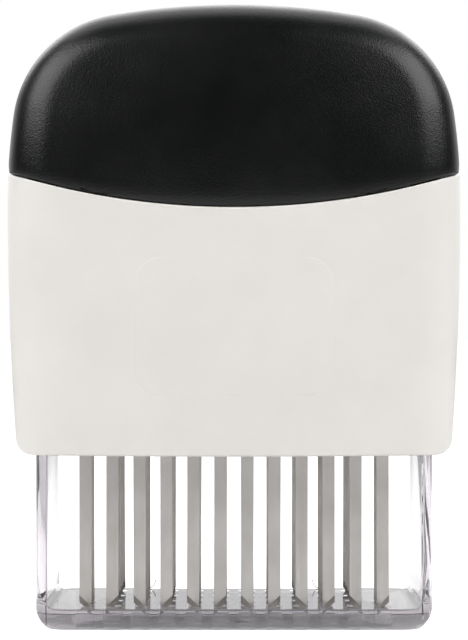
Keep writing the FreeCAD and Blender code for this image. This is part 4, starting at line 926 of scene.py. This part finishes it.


# The camera sees the floor white, fully so from a distance on. Through the clear guard it is as
# white, but for a painted shadow under the tool itself: a dimmer glow inside an oval of these half
# axes.
near_glow, painted_shadow_glow, full_glow = 0.62, 0.12, 1.0
oval = (0.05, 0.025)
rays = tree.nodes.new("ShaderNodeLightPath")
where = tree.nodes.new("ShaderNodeTexCoord").outputs["Object"]
outline = tree.nodes.new("ShaderNodeVectorMath")
outline.operation = "MULTIPLY"
outline.inputs[1].default_value = (1 / oval[0], 1 / oval[1], 0.0)
tree.links.new(where, outline.inputs[0])
under = ramp_of(tree, length_of(tree, outline.outputs[0]), 0.9, 2.0, painted_shadow_glow, near_glow)
far = ramp_of(tree, length_of(tree, where), 0.2, 0.8, near_glow, full_glow)
direct = joined(tree, "MULTIPLY", rays.outputs["Is Camera Ray"], far)
# Rays through the clear guard see the glow dimmed inside the oval, a painted shadow of the tool.
through_clear = joined(tree, "MULTIPLY", rays.outputs["Is Transmission Ray"], under)
glow = tree.nodes.new("ShaderNodeEmission")
tree.links.new(joined(tree, "MAXIMUM", direct, through_clear), glow.inputs["Strength"])
both = tree.nodes.new("ShaderNodeAddShader")
tree.links.new(shader.outputs[0], both.inputs[0])
tree.links.new(glow.outputs[0], both.inputs[1])
tree.links.new(both.outputs[0], tree.nodes["Material Output"].inputs["Surface"])
mesh.materials.append(floor_material)
floor = bpy.data.objects.new("floor", mesh)
scene.collection.objects.link(floor)

# Studio light
# A white room for the camera. What gloss and clear parts see is bright behind the tool and dark
# on the camera's side. Large soft lamps stand left, right, behind and above. The two lamps on the
# camera's side are weak and kept out of reflections.

world = bpy.data.worlds.new("studio")
scene.world = world
world.use_nodes = True
tree = world.node_tree
rays = tree.nodes.new("ShaderNodeLightPath")
way = tree.nodes.new("ShaderNodeTexCoord")
split = tree.nodes.new("ShaderNodeSeparateXYZ")
tree.links.new(way.outputs["Generated"], split.inputs[0])


def backdrop_light(colour, strength=1.0):
    """A background shader whose colour is a brightness or a plain colour."""
    node = tree.nodes.new("ShaderNodeBackground")
    node.inputs["Strength"].default_value = strength
    if isinstance(colour, tuple):
        node.inputs["Color"].default_value = colour
    else:
        tree.links.new(colour, node.inputs["Color"])
    return node.outputs[0]


def chosen(factor, first, second):
    """The first background where the factor is 0 and the second where it is 1."""
    mix = tree.nodes.new("ShaderNodeMixShader")
    tree.links.new(factor, mix.inputs[0])
    tree.links.new(first, mix.inputs[1])
    tree.links.new(second, mix.inputs[2])
    return mix.outputs[0]


seen = backdrop_light((1.0, 1.0, 1.0, 1.0))
fill = backdrop_light((1.0, 1.0, 1.0, 1.0), 0.15)
mirrored = backdrop_light(ramp_of(tree, split.outputs["Y"], 0.4, 0.88, 0.02, 0.95))
through = backdrop_light(ramp_of(tree, split.outputs["Y"], -0.8, 0.4, 0.75, 1.0))
room = chosen(rays.outputs["Is Diffuse Ray"], mirrored, fill)
room = chosen(rays.outputs["Is Transmission Ray"], room, through)
room = chosen(rays.outputs["Is Camera Ray"], room, seen)
tree.links.new(room, tree.nodes["World Output"].inputs["Surface"])


def soft_lamp(name, place, aim, width, height, power, glossy=True):
    """A rectangular lamp at a place, turned towards a point."""
    data = bpy.data.lights.new(name, "AREA")
    data.shape = "RECTANGLE"
    data.size, data.size_y = width, height
    data.energy = power
    lamp = bpy.data.objects.new(name, data)
    lamp.location = place
    direction = np.array(aim) - np.array(place)
    flat = math.hypot(direction[0], direction[1])
    lamp.rotation_euler = (
        math.atan2(flat, -direction[2]),
        0.0,
        math.atan2(direction[1], direction[0]) - math.pi / 2,
    )
    lamp.visible_glossy = glossy
    lamp.visible_camera = False
    lamp.visible_transmission = False
    scene.collection.objects.link(lamp)


body_middle, cap_middle, cap_top = (0.0, 0.0, 0.07), (0.0, 0.0, 0.12), (0.0, 0.0, 0.13)
soft_lamp("front", (0.0, -1.1, 0.45), body_middle, 0.9, 0.7, 1.0, glossy=False)
soft_lamp("front_top", (0.0, -0.55, 0.85), body_middle, 0.7, 0.3, 0.7, glossy=False)
soft_lamp("left", (-0.48, -0.21, 0.50), cap_middle, 0.55, 0.42, 3.1)
soft_lamp("right", (0.48, -0.21, 0.50), cap_middle, 0.55, 0.42, 3.1)
soft_lamp("back", (0.0, 0.48, 0.48), cap_top, 0.9, 0.35, 1.7)
soft_lamp("above", (0.0, 0.22, 0.70), cap_top, 0.8, 0.26, 0.9)

scene.view_settings.view_transform = "Standard"
